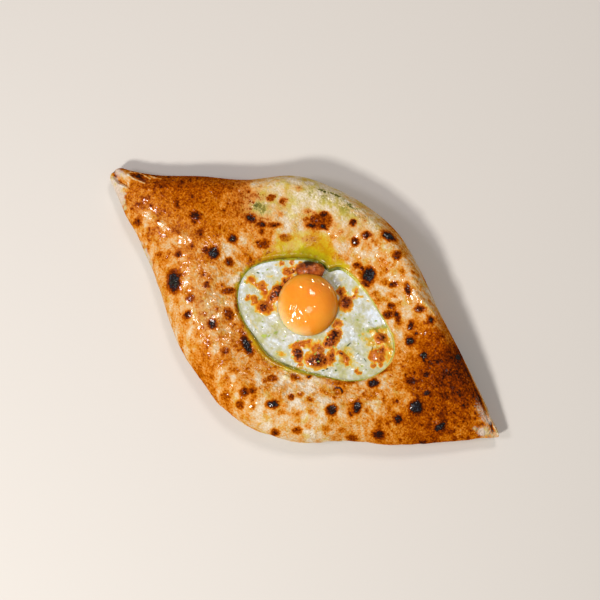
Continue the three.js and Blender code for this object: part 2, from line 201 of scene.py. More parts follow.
# How far the oven browned each part of the loaf, from 0.1, floury, to 0.8, deep brown:
# place, reach and browning. Between them the browning is their average, weighted by nearness.
# The far-rim levels at (67, 46) and from (36, 67) to (85, 36) are set paler as painted light on a
# slope that faces away from the lamps, and the level at (-104, -10) is paler as painted highlight.
BROWNING = [
    (-143, 11, 4, 0.62), (-135, 0, 5, 0.20), (-129, 12, 5, 0.66), (-118, 4, 10, 0.56),
    (-110, 14, 11, 0.67), (-93, 27, 12, 0.69), (-73, 37, 11, 0.63), (-94, 3, 11, 0.59),
    (-80, 15, 11, 0.56), (-63, 24, 10, 0.57), (-104, -10, 9, 0.41), (-85, -10, 5, 0.38),
    (-111, -19, 6, 0.42), (-82, -30, 7, 0.46), (-70, -4, 10, 0.54), (-60, -18, 9, 0.47),
    (-50, -5, 6, 0.27), (-50, 10, 7, 0.32), (-40, 5, 5, 0.60), (-44, 25, 7, 0.56),
    (-60, -39, 9, 0.39), (-43, -26, 9, 0.41), (-42, -49, 10, 0.45), (-25, -36, 9, 0.46),
    (-23, -54, 10, 0.52), (-7, -46, 9, 0.49), (-25, -69, 7, 0.60), (-3, -62, 9, 0.40),
    (-1, -77, 7, 0.52), (12, -52, 9, 0.41), (25, -65, 10, 0.32), (31, -42, 9, 0.28),
    (46, -54, 10, 0.28), (26, -35, 5, 0.42), (56, -25, 9, 0.46), (65, -45, 10, 0.37),
    (78, -21, 9, 0.41), (83, -32, 9, 0.53), (82, -11, 7, 0.47), (89, 1, 9, 0.68),
    (101, -16, 11, 0.66), (115, 1, 9, 0.66), (124, -6, 7, 0.58), (135, 5, 6, 0.47),
    (125, 9, 6, 0.50), (99, 20, 10, 0.80), (113, 15, 9, 0.80), (83, 27, 9, 0.70),
    (70, 29, 7, 0.60), (70, 14, 7, 0.51), (60, 19, 5, 0.32), (67, 46, 7, 0.36),
    (52, 50, 9, 0.38), (39, 37, 6, 0.37), (54, 32, 6, 0.36), (22, 52, 9, 0.38),
    (30, 61, 7, 0.40), (5, 49, 7, 0.38), (1, 60, 10, 0.35), (30, 74, 6, 0.48),
    (-19, 62, 11, 0.17), (-37, 57, 11, 0.20), (-52, 51, 9, 0.26), (-61, 45, 5, 0.40),
    (-35, 43, 9, 0.27), (-20, 53, 7, 0.26), (-50, 37, 5, 0.36), (-20, 32, 10, 0.34),
    (-2, 44, 6, 0.42), (69, -12, 5, 0.36), (70, -4, 4, 0.32),
    (-5, 72, 8, 0.34), (-25, 70, 8, 0.18), (-45, 64, 7, 0.22), (-60, 56, 5, 0.42), (21, 72, 5, 0.48),
    (36, 67, 5, 0.36), (51, 58, 5, 0.40), (64, 50, 5, 0.34), (75, 41, 4, 0.47), (85, 36, 5, 0.56),
    (102, 28, 6, 0.79), (116, 21, 5, 0.62), (-16, 34, 9, 0.26), (-28, 32, 6, 0.22), (-43, -6, 4, 0.22),
    (-27, -50, 4, 0.26), (-34, -43, 4, 0.42),
]
MOTTLE_SLANT = 0.8  # how far the mottling shifts for each millimetre of height
BORDER_SWAY, BORDER_SIZE = 3.5, 11  # how unevenly one browning passes into the next
# Bubbles that burnt on top: place, radius, stretch, turn of the long way, and browning.
BLISTERS = [
    (-18, 49.8, 3.8, 1.55, 30, 0.74), (-16.6, 38.5, 1.6, 2.6, 35, 0.56), (-7.6, 37.3, 1.2, 1.2, 0, 0.46),
    (131.6, 2.5, 1.6, 1.4, 35, 0.62), (123, 5.8, 1.4, 1.4, 35, 0.64),
    (-60.5, -3, 3.4, 1.1, -55, 1), (-65.5, -4.5, 1.8, 1.15, -55, 0.86), (-71, -31, 4, 1.75, -50, 1),
    (-56, 11, 2.4, 1, 0, 0.93), (-50, -2, 2.4, 1, 0, 0.82), (-83.5, 9.5, 2.7, 1.35, 15, 0.86),
    (-92.5, 19, 1.2, 1, 0, 0.84), (-98, 10, 1.4, 2.2, -45, 0.78), (-113, -12.5, 1.8, 1.15, 35, 0.78),
    (-75.5, 2.5, 1.5, 1.2, 55, 0.74), (-74, -7, 0.9, 1.35, -55, 0.8), (-78, -15.5, 1.8, 1, 0, 0.8),
    (-89, -22, 1.5, 1.4, 35, 0.66), (-98, -22.5, 0.9, 1.35, -55, 0.62), (-53, -22, 1.5, 1, 0, 0.78),
    (-56, -34, 2.1, 1, 0, 0.74), (-40, -17, 1.5, 2.2, 45, 0.78), (-52, -43.5, 2.4, 1, 0, 0.86),
    (-43.5, -37.5, 1.5, 1, 0, 0.64), (-36, -39.5, 2.7, 1, 0, 0.92), (-31.5, -28.5, 2.4, 1.4, -35, 0.76),
    (-30, -21.5, 0.9, 2.65, -40, 0.72), (-39, -30.5, 1.2, 1, 0, 0.6), (-11.5, -38, 2.3, 2.8, -30, 1),
    (-18.5, -33, 0.9, 2.65, -35, 0.7), (-54, 27.5, 2.4, 1.25, 25, 0.92), (-46, 28, 1.5, 1.6, 30, 0.88),
    (-44, 25, 1.2, 1, 0, 0.78), (-39.5, 32.5, 1.2, 2.5, 35, 0.8), (-39, 19, 2.4, 1.4, 45, 0.77),
    (-30, 30, 1.8, 1.45, 30, 0.64), (-51, 45, 1.8, 1.35, 55, 0.7), (-43.5, 47.5, 1.8, 1.15, 35, 0.68),
    (-40, 59, 1.2, 1.25, 20, 0.56), (-40.5, 39.5, 1.2, 1, 0, 0.54), (-49.5, 38.5, 0.8, 1.6, 35, 0.52),
    (-18, 54.5, 1.8, 1.35, 35, 0.85), (-13.5, 52.5, 1.8, 2, -65, 0.72),
    (-14.5, 48.5, 1.2, 1.75, 30, 0.95), (-21, 45, 1.5, 1.8, 25, 0.9),
    (-24.5, 46.5, 1.8, 1.15, 35, 0.64), (-27.5, 51, 1.2, 1.75, 35, 0.6), (-23.5, 52, 0.9, 1, 0, 0.6),
    (-0.5, 60.5, 1.8, 1.15, -55, 0.82), (10.5, 59, 1.8, 1.35, 50, 0.87), (7, 52, 2.4, 1, 0, 0.85),
    (22.5, 66, 2.4, 1.9, 5, 1), (33, 59, 2.4, 1, 0, 0.82), (-3.5, 52, 1.2, 1, 0, 0.62),
    (27.5, 52, 1.2, 1.25, 35, 0.58), (32.5, 48, 1.2, 1, 0, 0.6), (41, 43.5, 1.5, 1.6, 45, 0.82),
    (35.5, 41.5, 1.2, 1.25, 35, 0.62), (16, 41, 1.5, 1.2, 20, 0.8), (19.5, 41, 0.9, 1.35, -5, 0.86),
    (25.5, 40, 4, 1.25, -65, 1), (27, 34.5, 1.2, 2, 15, 0.84), (50, 45.5, 1.5, 2.2, -40, 0.9),
    (47.5, 32, 1.5, 1.4, 15, 0.8), (49, 26.5, 2.1, 1.15, 35, 0.82), (54, 28.5, 1.2, 3, -35, 0.85),
    (63, 39.5, 1.8, 1.35, 35, 0.84), (72.5, 37.5, 1.5, 1.4, -35, 0.92), (64, 28.5, 1.5, 1.8, -60, 0.88),
    (69.5, 26, 0.9, 1.15, 35, 0.88), (69, 20.5, 2.7, 1, 0, 0.97), (81, 17.5, 2.4, 1.1, -55, 0.93),
    (98.5, 29, 2.1, 1.3, 5, 0.95), (88.5, 8.5, 1.8, 1.5, 45, 0.86), (83.5, 0.5, 2.1, 1.7, 30, 0.84),
    (95, -0.5, 2.1, 1.3, 35, 0.93), (111, 11, 1.8, 1, 0, 0.87), (119, 15, 1.5, 1.6, -35, 0.84),
    (109.5, 21.5, 1.5, 1, 0, 0.8), (94.5, -11, 4.6, 1, 0, 1), (89.5, -23, 2.7, 1, 0, 0.95),
    (113, -12, 2.4, 1.9, 65, 0.98), (109.5, -5, 1.8, 1.5, -45, 0.8), (120, -10, 1.2, 1.5, 35, 0.76),
    (85, -37, 2.4, 1.5, 35, 0.9), (110, -25, 1.2, 1.75, 35, 0.86), (115.5, -20, 1.1, 1.7, 35, 0.76),
    (127.5, -9, 0.8, 1.6, 35, 0.68), (65, -13.5, 2.4, 1.4, 45, 0.96), (65, -31.5, 2.4, 1.5, -70, 0.97),
    (53.5, -41.5, 3, 1.1, 55, 0.95), (22, -59, 2.4, 1.4, 35, 0.95), (4, -62.5, 2.1, 1.15, 35, 0.82),
    (7.5, -59, 1.5, 1.2, 55, 0.78), (-4.5, -70.5, 2.1, 1.15, 35, 0.66), (6, -70, 1.8, 1.15, 35, 0.74),
    (13, -66.5, 0.9, 1, 0, 0.7), (13, -46, 1.5, 1.6, 30, 0.74), (23.5, -38, 1.8, 1, 0, 0.78),
    (31, -32.5, 0.8, 1.2, 35, 0.93), (29, -49, 1.5, 1, 0, 0.74), (38, -54.5, 1.2, 1.25, 35, 0.56),
    (32.5, -71.5, 1.5, 1.4, 35, 0.76), (43, -63, 1.5, 1.4, 35, 0.74), (73, -47.5, 1.2, 2, 25, 0.76),
    (-8, -54.5, 1.5, 1.2, 35, 0.64), (-20, -48.5, 2.1, 1, 0, 0.72), (-31.5, -51, 1.1, 1.7, -55, 0.64),
    (-18.5, -66, 0.9, 1.35, 5, 0.66), (10, -50, 0.9, 1.35, 35, 0.66), (29.5, -59.5, 0.9, 1.35, 35, 0.6),
    (11, -62, 1.2, 1, 0, 0.6), (32.5, -44.5, 0.9, 1.65, 55, 0.6), (39.5, -43.5, 0.9, 1.65, 20, 0.66),
    (44, -49.5, 0.9, 1, 0, 0.58), (47, -57.5, 1.2, 1.25, 35, 0.54), (57.5, -52, 0.9, 2, 25, 0.6),
    (65, -48, 0.9, 1.35, 35, 0.64), (47, -26, 0.9, 3, 30, 0.68), (53, -21, 0.9, 2.65, 40, 0.68),
    (66, -3, 1.1, 2.55, 70, 0.66), (68.5, -20, 1.2, 2.75, 70, 0.6), (-112.5, 14.5, 1.8, 2.15, 20, 0.72),
    (-117, 1, 1.5, 1.2, 15, 0.7),
]
HALO_BROWNING, RING_BROWNING, BLISTER_RISE = 0.52, 0.7, 0.15
# Small scorched bubbles between the large ones: how many, radius, what they add, the most that they
# reach, their rise and how far each is worked out.
SPECKS, SPECK_RADIUS, SPECK_BROWNING = 560, (0.6, 1.4), (0.03, 0.23)
SPECK_DARKEST, SPECK_RISE, SPECK_REACH = 0.82, 0.14, 4
# How far melted butter reaches past the eye's edge in each direction: degrees and millimetres.
BUTTER_REACH = [
    (-180, 1.6), (-160, 1.6), (-140, 2.6), (-123, 4.8), (-106, 5.4), (-90, 4.8), (-76, 3.6),
    (-60, 2.6), (-45, 1.4), (-30, 0.6), (20, 0.4), (60, 0.8), (88, 2.4), (95, 4.4), (101, 7.5),
    (106, 12), (110, 15), (113, 19.5), (120, 19.5), (128, 19), (136, 18), (144, 16.5),
    (150, 14.7), (155, 10.3), (162, 7), (167, 4.4), (180, 1.6),
]
SHORE_SWAY, SHORE_SIZE, SHORE_DEEPEST = 1.3, 5, 4  # how uneven that shore is and how fast it deepens
# Herbs baked into the dough or smeared on it: place, reach and strength.
HERB_STAINS = [
    (-56, 36, 3.2, 0.8), (-51, 38, 2.6, 0.45), (-46, 37, 1.8, 0.6), (-50, 34, 3, 0.5), (-44, 31, 1.5, 0.35),
    (-31, 60, 4, 0.3), (-26, 63, 4, 0.25), (-10, 65, 4, 0.25), (-6, 58, 2.5, 0.3), (-3, 53, 2, 0.3),
    (-47, -32, 4, 0.3), (-42, -40, 5, 0.22), (-16, 29, 1.3, 0.9), (-13, 28, 1.3, 0.8), (10, 66, 4, 0.15),
]
HERB_TINT, HERB_TINT_REACH, HERB_TINT_SHARE = [(-56, 42), (-42, 54), (-22, 64), (0, 67)], 13, 0.3
# Bare, floury dough: place, reach and strength.
FLOURED = [
    (-143.5, 7.6, 2.4, 0.7), (-140, 7.2, 2.2, 0.6), (-137, 7, 2, 0.5), (-142, 1.5, 2.2, 1.1),
    (-139, -0.5, 2.6, 1.1), (-135.5, -2.5, 2.6, 1.1), (-132, -4.5, 2.4, 1.0), (-128.5, -6.8, 2.2, 0.9),
    (-125, -9.2, 1.8, 0.7), (-134, 1.5, 1.6, 0.5), (-130, -1.5, 1.4, 0.4), (-133, 6, 2, 0.3),
    (126, 11, 3.5, 0.45), (131.5, 9.5, 3.5, 0.5), (136, 8, 3, 0.5), (121.5, 15, 3, 0.3),
    (135.5, 0.5, 2.5, 0.75), (138, 2, 3, 0.6), (144, 3.5, 4, 0.55), (131, -0.5, 2, 0.5),
    (40, -31, 4, 0.4), (46, -28, 3, 0.3), (72, 44, 3, 0.4), (-104, -22, 2, 0.7), (-99.5, -24.5, 2.2, 0.9),
    (-95.5, -27, 2.4, 0.9), (-91, -29.5, 2.2, 0.7),
]
# Folds and cracks: width, how far they rise or sink, what they add to the browning, and their path.
# Where a fold sinks, the browning it adds is painted shade in the fold; raised ones are made paler.
CREASES = [
    (0.8, -1.5, 0.32, [(-146, 6.7), (-143.2, 4.4), (-138.4, 3.1), (-132.5, 3.5)]),
    (0.7, 0.8, -0.26, [(-146.2, 4.6), (-144.8, 3.2), (-141.5, 1.4), (-136.7, 0.8), (-132, 1.6)]),
    (1.5, -0.7, 0.14, [(-133, 10.8), (-129.4, 11.4), (-125.6, 11.6)]),
    (0.5, 0.6, -0.34, [(-135.7, 11.5), (-131.3, 14.2), (-122.2, 14.4)]),
    (0.5, 0.5, -0.30, [(-135.4, 8.9), (-130.3, 8.5), (-122.4, 9.7)]),
    (0.6, 0.5, -0.25, [(-123.7, 16.1), (-119.8, 16.4), (-116, 17.8)]),
    (0.6, -0.6, 0.22, [(137.4, 8.6), (142, 4.6)]),
    (0.7, 0.35, 0.05, [(116, 8), (124, 3), (131, 2)]),
    (1.8, 1.0, -0.06, [(48, 46.2), (57, 45.1), (67.7, 43.8), (75, 41.6)]),
    (4.0, 1.2, 0.0, [(-120, -9), (-105.6, -7), (-96.2, -6), (-81.5, -6)]),
    (1.2, 0.7, -0.16, [(18.8, -40.8), (23, -39.4), (29.3, -38.8)]),
]
OLIVE_CREASE = [(-29, 66), (-23, 68.2), (-18, 69.6), (-12.5, 69.2), (-6.5, 68.4), (-3, 69.6)]
BURST_X, BURST_Y, BURST_RADIUS = 50.4, -30, 2.6
TIP_LIP_START, TIP_LIP_IN, TIP_LIP_WIDTH, TIP_LIP_RISE = 98, 1.0, 0.7, 0.8
TIP_GROOVE_IN, TIP_GROOVE_FULL, TIP_GROOVE_DEPTH = 3.4, 118, 0.5
# Unevenness of the dough's skin: height, size of the lumps, seed and octaves.
DOUGH_SKIN = [(0.36, 8, 101, 3), (0.16, 2.4, 111, 2)]
CRACKLE_DEPTH, CRACKLE_SIZE = 0.45, 1.9
# Where the skin is wettest: the near flank by the curled tip, and a stretch of the far rim.
WET_FLANK, WET_FLANK_REACH = [(-118, -4), (-102, -7), (-84, -7), (-70, -16), (-30, -45)], 14
WET_RIM, WET_RIM_REACH = [(48, 46), (62, 44), (78, 40)], 5


def oval_distance(x, y, blister):
    """Distance from the middle of an oval blister, as a share of the way to its edge."""
    at_x, at_y, radius, stretch, turn = blister[:5]
    turn = np.radians(turn)
    along = (x - at_x) * np.cos(turn) + (y - at_y) * np.sin(turn)
    across = (y - at_y) * np.cos(turn) - (x - at_x) * np.sin(turn)
    return np.hypot(along / (radius * stretch), across / radius)


def path_distance(x, y, path):
    """Distance to the nearest of the straight stretches of a path."""
    nearest = np.full_like(x, np.inf)
    for (a, b), (c, d) in zip(path, path[1:]):
        share = np.clip(((x - a) * (c - a) + (y - b) * (d - b)) / ((c - a) ** 2 + (d - b) ** 2), 0, 1)
        nearest = np.minimum(nearest, np.hypot(x - a - share * (c - a), y - b - share * (d - b)))
    return nearest


def spots(x, y, places):
    """Sum of bells, each with its place, reach and strength."""
    return sum(level * bell(np.hypot(x - a, y - b), reach) for a, b, reach, level in places)


def browning_of(x, y, z):
    """Average of the BROWNING levels, weighted by nearness, and mottled. The mottling is read at a
    place shifted by the height, so that it doesn't run in streaks down the steep sides, and is
    strongest where the dough is half browned."""
    u, v = x + MOTTLE_SLANT * z, y - MOTTLE_SLANT * z
    near_x = x + BORDER_SWAY * rough(u, v, BORDER_SIZE, 21)
    near_y = y + BORDER_SWAY * rough(u, v, BORDER_SIZE, 31)
    total, weight = np.zeros_like(x), np.full_like(x, 1e-9)
    for at_x, at_y, reach, level in BROWNING:
        near = np.exp(-np.hypot(near_x - at_x, near_y - at_y) / (0.5 * reach))
        total += near * level
        weight += near
    level = total / weight
    patchy = 0.3 + (0.1 + 0.6 * smooth(0.18, 0.32, level)) * (1 - smooth(0.42, 0.58, level))
    return level + patchy * (0.17 * rough(u, v, 8, 41) + 0.09 * rough(u, v, 2.8, 51, 2))


def with_blisters(x, y, browning):
    """Browning and height after each blister: a core that is darkest in the middle, a red-brown ring
    and a thin golden halo, on a dome."""
    x = x + 0.5 * rough(x, y, 3.5, 61, 2)
    y = y + 0.5 * rough(x, y, 3.5, 71, 2)
    height = np.zeros_like(x)
    for blister in BLISTERS:
        radius, level = blister[2], blister[5]
        away = oval_distance(x, y, blister)
        past = radius * (away - 1)
        halo = 0.6 * bell(np.maximum(past, 0), 0.8 + 0.25 * radius)
        browning = browning + np.maximum(HALO_BROWNING - browning, 0) * halo
        ring = bell(np.maximum(past, 0), 0.6 + 0.1 * radius)
        browning = browning + np.maximum(min(RING_BROWNING, level - 0.05) - browning, 0) * ring
        browning = browning + (level - browning) * (1 - smooth(-0.5 * radius, 0.25, past))
        height = height + BLISTER_RISE * radius * np.clip(1 - away**2, 0, 1) ** 1.5
    return browning, height


def add_specks(x, y, browning, height):
    """Small seeded bubbles, each a browner dot on a low dome, worked out only near itself."""
    draw = np.random.default_rng(7)
    flat_x, flat_y = x.ravel(), y.ravel()
    browning, height = browning.ravel().copy(), height.ravel().copy()
    for _ in range(SPECKS):
        share = draw.uniform(-0.95, 0.95)
        at_x = share * HALF_LENGTH
        side = draw.uniform(-0.93, 0.93)
        at_y = TIP_LINE_Y + side * float(half_width(np.array([at_x]), np.array([side > 0]))[0])
        radius, more = draw.uniform(*SPECK_RADIUS), draw.uniform(*SPECK_BROWNING)
        is_near = (np.abs(flat_x - at_x) < SPECK_REACH) & (np.abs(flat_y - at_y) < SPECK_REACH)
        near = np.flatnonzero(is_near)
        away = np.hypot(flat_x[near] - at_x, flat_y[near] - at_y) / radius
        left = np.maximum(SPECK_DARKEST - browning[near], 0)
        browning[near] += np.minimum(more, left) * np.exp(-(away**3))
        height[near] += SPECK_RISE * radius * np.exp(-(away**2))
    return browning.reshape(x.shape), height.reshape(x.shape)


def with_folds(x, y, relief, browning):
    """Relief and browning after the creases, the rolled lip and groove at the sharp tip, and the
    bubble that tore open. The browning added in sunk creases and in the groove is painted shade,
    and on the far arc of the bubble that tore open it is char and painted shade."""
    for width, rise, more, path in CREASES:
        line = bell(path_distance(x, y, path), width)
        relief = relief + rise * line
        browning = browning + more * line
    far = y > TIP_LINE_Y
    from_edge = half_width(x, far) - np.abs(y - TIP_LINE_Y)
    tip_lip = bell(from_edge - TIP_LIP_IN, TIP_LIP_WIDTH) * far
    tip_lip = tip_lip * smooth(TIP_LIP_START, TIP_LIP_START + 10, x)
    groove = bell(from_edge - TIP_GROOVE_IN, TIP_LIP_WIDTH)
    groove = groove * smooth(TIP_LIP_START, TIP_GROOVE_FULL, x) * far
    relief = relief + TIP_LIP_RISE * tip_lip - TIP_GROOVE_DEPTH * groove
    # The groove is browned as painted shade; the rolled lip is made paler.
    browning = browning + 0.16 * groove - 0.4 * tip_lip
    from_burst = np.hypot(x - BURST_X, y - BURST_Y)
    torn = bell(from_burst - BURST_RADIUS, 0.55) * smooth(-0.6, 0.8, (y - BURST_Y) / BURST_RADIUS)
    relief = relief - 0.5 * (1 - smooth(0, BURST_RADIUS, from_burst)) - 0.4 * torn
    # The far arc of the bubble that tore open is browned as char and painted shade.
    browning = browning + 0.5 * torn + 0.14 * bell(from_burst, BURST_RADIUS)
    return relief, browning


def stains(x, y, z):
    """Three fields of the skin: how green herbs have made it, how floury it is, and how wet."""
    top = smooth(EDGE_HEIGHT - 2, EDGE_HEIGHT + 4, z)
    olive = 1.1 * bell(path_distance(x, y, OLIVE_CREASE), 0.9)
    tint = HERB_TINT_SHARE * bell(path_distance(x, y, HERB_TINT), HERB_TINT_REACH)
    herb = (0.8 * spots(x, y, HERB_STAINS) + olive + tint) * top
    pale_foot = 0.35 * smooth(0, 1, z) * (1 - smooth(2.5, 6, z)) * (y < TIP_LINE_Y)
    flour = np.clip(spots(x, y, FLOURED) + pale_foot, 0, 1)
    wet = bell(path_distance(x, y, WET_FLANK), WET_FLANK_REACH)
    wet = np.maximum(wet, 0.4 * bell(path_distance(x, y, WET_RIM), WET_RIM_REACH))
    rim = half_width(x, y > TIP_LINE_Y) - np.abs(y - TIP_LINE_Y)
    burst = bell(np.hypot(x - BURST_X, y - BURST_Y), BURST_RADIUS)
    shine = np.maximum((0.25 + 0.75 * wet) * smooth(1, 8, rim), 0.6 * burst) * top
    return {"herb": herb, "flour": flour, "shine": shine}


def set_field(mesh, field, values):
    """Stores one number for each point of a mesh."""
    numbers = mesh.attributes.new(field, "FLOAT", "POINT").data
    numbers.foreach_set("value", values.astype(np.float32))


def skin_mesh(name, rings, bottom, top, fields):
    """A closed skin: rings of equal length, joined by quads, with a fan of triangles to the pole
    below the first ring and the pole above the last. Fields are one number for each point."""
    count, around = rings.shape[:2]
    points = np.vstack([rings.reshape(-1, 3), bottom, top]) * MM
    index = np.arange(count * around).reshape(count, around)
    turned = np.roll(index, -1, axis=1)
    quads = np.stack([index[:-1], turned[:-1], turned[1:], index[1:]], axis=-1).reshape(-1, 4)
    under = np.full(around, count * around)
    low_fan = np.stack([under, turned[0], index[0]], axis=-1)
    high_fan = np.stack([index[-1], turned[-1], under + 1], axis=-1)
    mesh = bpy.data.meshes.new(name)
    mesh.from_pydata(points.tolist(), [], quads.tolist() + low_fan.tolist() + high_fan.tolist())
    for field, values in fields.items():
        ends = [values[0].mean(), values[-1].mean()]
        set_field(mesh, field, np.concatenate([values.ravel(), ends]))
    mesh.polygons.foreach_set("use_smooth", np.ones(len(mesh.polygons), bool))
    return mesh


def put(name, data):
    """A new object in the scene."""
    thing = bpy.data.objects.new(name, data)
    bpy.context.scene.collection.objects.link(thing)
    return thing


def show(name, mesh, material, node):
    """Puts a mesh in the scene as a piece that stands for a CAD node, or rides beside them."""
    piece = put(name, mesh)
    mesh.materials.append(material)
    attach(piece, "root")
    if node:
        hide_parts(node)
    return piece


def butter_depth(x, y, past_eye):
    """How deep melted butter stands, from 0 at its uneven shore to 1 at the eye's edge."""
    angle = np.degrees(np.arctan2(y - EYE_Y, x - EYE_X))
    reach = np.interp(angle, *zip(*BUTTER_REACH)) + SHORE_SWAY * rough(x, y, SHORE_SIZE, 91, 4)
    return np.clip((reach - past_eye) / np.maximum(reach, SHORE_DEEPEST), 0, 1)


def make_crust():
    """The loaf on rays from the middle of the eye. Along each ray: the flat base, a quarter-round
    under-roll out to the edge, the top in to the eye's lip, and the well down to its floor."""
    around, base_rows, roll_rows, edge_rows, middle_rows, lip_rows = 900, 2, 7, 14, 70, 8
    deck_rows = edge_rows + middle_rows + lip_rows
    half = around // 2
    i = np.arange(around)
    share = (i % half) / half
    eased = share + 0.5 * ((1 - np.cos(np.pi * share)) / 2 - share)
    far = i < half
    edge_x = np.where(far, 1, -1) * HALF_LENGTH * (1 - 2 * eased)
    edge_y = TIP_LINE_Y + np.where(far, 1, -1) * half_width(edge_x, far)
    angle = np.arctan2(edge_y - EYE_Y, edge_x - EYE_X)
    eye = eye_radius(angle)
    edge = np.hypot(edge_x - EYE_X, edge_y - EYE_Y)
    hem = EDGE_SWAY * rough(edge_x, edge_y, EDGE_SIZE, 81)
    hem = hem * smooth(0, EDGE_SIZE, HALF_LENGTH - np.abs(edge_x))
    hem = hem + SWELL * bell(edge_x - SWELL_X, SWELL_REACH) * ~far

    base = np.array([0.45, 0.85])[:, None] * (edge - UNDERCUT)
    turn = np.linspace(0, np.pi / 2, roll_rows + 1)[:-1, None]
    roll = edge + hem * np.sin(turn) - UNDERCUT * (1 - np.sin(turn))
    margin = np.minimum(4, 0.1 * (edge - eye))
    first = edge - margin * np.linspace(0, 1, edge_rows + 1)[:-1, None] ** 2
    crowding = 1 + 0.6 * smooth(60, 120, edge - eye)
    even = np.linspace(0, 1, middle_rows)[:, None]
    middle = edge - margin - (edge - eye - 2 * margin) * even**crowding
    last = eye + margin * np.linspace(1, 0, lip_rows + 1)[1:, None] ** 2
    deck = np.vstack([first, middle, last])
    deck = deck + hem * np.clip((deck - eye) / (edge - eye), 0, 1) ** 8
    well = np.stack([eye, eye - 0.6 * WELL_DRAFT, eye - WELL_DRAFT - 2])

    distance = np.vstack([base, roll, deck, well])
    x, y = out_from_eye(distance, angle)
    on_deck = slice(base_rows + roll_rows, base_rows + roll_rows + deck_rows)
    below = slice(0, base_rows + roll_rows)
    deck_x, deck_y, past_eye = x[on_deck], y[on_deck], deck - eye
    z = np.zeros_like(distance)
    z[base_rows : base_rows + roll_rows] = EDGE_HEIGHT * (1 - np.cos(turn))
    z[on_deck] = crust_top(deck_x, deck_y, past_eye)
    z[-3:] = np.array([LIP_HEIGHT - 1.6 * LIP_ROUND, WELL_FLOOR + 3, WELL_FLOOR])[:, None]

    butter = butter_depth(deck_x, deck_y, past_eye)
    browning, blisters = with_blisters(deck_x, deck_y, browning_of(deck_x, deck_y, z[on_deck]))
    browning, blisters = add_specks(deck_x, deck_y, browning, blisters)
    dough = sum(high * rough(deck_x, deck_y, size, *draw) for high, size, *draw in DOUGH_SKIN)
    burnt = smooth(0.85, 0.95, browning)
    crackle = burnt * CRACKLE_DEPTH * np.abs(rough(deck_x, deck_y, CRACKLE_SIZE, 121, 2))
    relief = (blisters + dough - crackle) * (1 - 0.8 * smooth(0, 0.3, butter))
    relief, browning = with_folds(deck_x, deck_y, relief, browning)
    inside = smooth(0, 0.05, 1 - past_eye / np.maximum(edge - eye, 1))
    z[on_deck] = z[on_deck] + relief * smooth(0, 3, past_eye) * inside

    # The walls on the far side are browner: baked colour and painted shade where they face away from the
    # lamps. Just above the floor they are paler, bare dough.
    wall = browning_of(x[below], y[below], z[below]) + 0.16 * (y[below] > TIP_LINE_Y)
    wall = wall - 0.16 * smooth(0, 2, z[below]) * (1 - smooth(3, 7, z[below]))
    blank = np.zeros((3, around))
    fields = {
        "browning": np.vstack([wall, browning, blank + 0.2]),
        "butter": np.vstack([np.zeros_like(wall), butter, blank]),
        **stains(x, y, z),
    }
    rings = np.stack([x, y, z], axis=-1)
    return skin_mesh("baked_crust", rings, [EYE_X, EYE_Y, 0], [EYE_X, EYE_Y, WELL_FLOOR], fields)


def colour(red, green, blue):
    """A screen colour from 0 to 255 as the linear colour that shaders take."""
    c = np.array([red, green, blue]) / 255
    return (*np.where(c <= 0.04045, c / 12.92, ((c + 0.055) / 1.055) ** 2.4), 1.0)


def feed(tree, node, inputs):
    """Sets a node's inputs, each to a value or by a link to another node's output."""
    for socket, value in inputs.items():
        if isinstance(value, bpy.types.NodeSocket):
            tree.links.new(value, node.inputs[socket])
        else:
            node.inputs[socket].default_value = value


def add(tree, kind, inputs=None, **settings):
    """Adds a node to a tree and feeds it its inputs."""
    node = tree.nodes.new(kind)
    for setting, value in settings.items():
        setattr(node, setting, value)
    feed(tree, node, inputs or {})
    return node


def reckon(tree, operation, a, b=0.0, c=0.0, clamp=False):
    """The output of a Math node."""
    return add(tree, "ShaderNodeMath", {0: a, 1: b, 2: c}, operation=operation, use_clamp=clamp).outputs[0]


def times(tree, a, b, clamp=False):
    """The product of two numbers."""
    return reckon(tree, "MULTIPLY", a, b, clamp=clamp)


def scaled(tree, value, share, start):
    """A share of the value, added to a start."""
    return reckon(tree, "MULTIPLY_ADD", value, share, start)


def bumped(tree, height, strength, depth_mm):
    """The normal of a skin with this relief."""
    inputs = {"Height": height, "Strength": strength, "Distance": depth_mm * MM}
    return add(tree, "ShaderNodeBump", inputs).outputs[0]


def step_up(tree, value, low, high):
    """0 where the value is below low, 1 where it is above high, and straight between."""
    return add(tree, "ShaderNodeMapRange", {0: value, 1: low, 2: high}).outputs[0]


def blend(tree, share, a, b, way="MIX"):
    """The output of a Mix node between two colours."""
    sockets = {0: share, 6: a, 7: b}
    return add(tree, "ShaderNodeMix", sockets, data_type="RGBA", blend_type=way).outputs[2]


def read(tree, field):
    """The value of one of the mesh's fields."""
    return add(tree, "ShaderNodeAttribute", attribute_name=field).outputs["Fac"]


def grain(tree, size_mm, detail=2.0, kind="ShaderNodeTexNoise"):
    """Noise with features of about the given size, in the piece's own space."""
    place = add(tree, "ShaderNodeTexCoord").outputs["Object"]
    inputs = {"Vector": place, "Scale": 0.5 / (size_mm * MM)}
    if kind == "ShaderNodeTexNoise":
        inputs["Detail"] = detail
    return add(tree, kind, inputs).outputs[0]


def ramp(tree, value, stops, way="LINEAR"):
    """The colour of a ramp with the given places and screen colours."""
    node = add(tree, "ShaderNodeValToRGB", {0: value})
    node.color_ramp.interpolation = way
    while len(node.color_ramp.elements) < len(stops):
        node.color_ramp.elements.new(0.5)
    for element, (place, shade) in zip(node.color_ramp.elements, stops):
        element.position = place
        element.color = colour(*shade)
    return node.outputs[0]


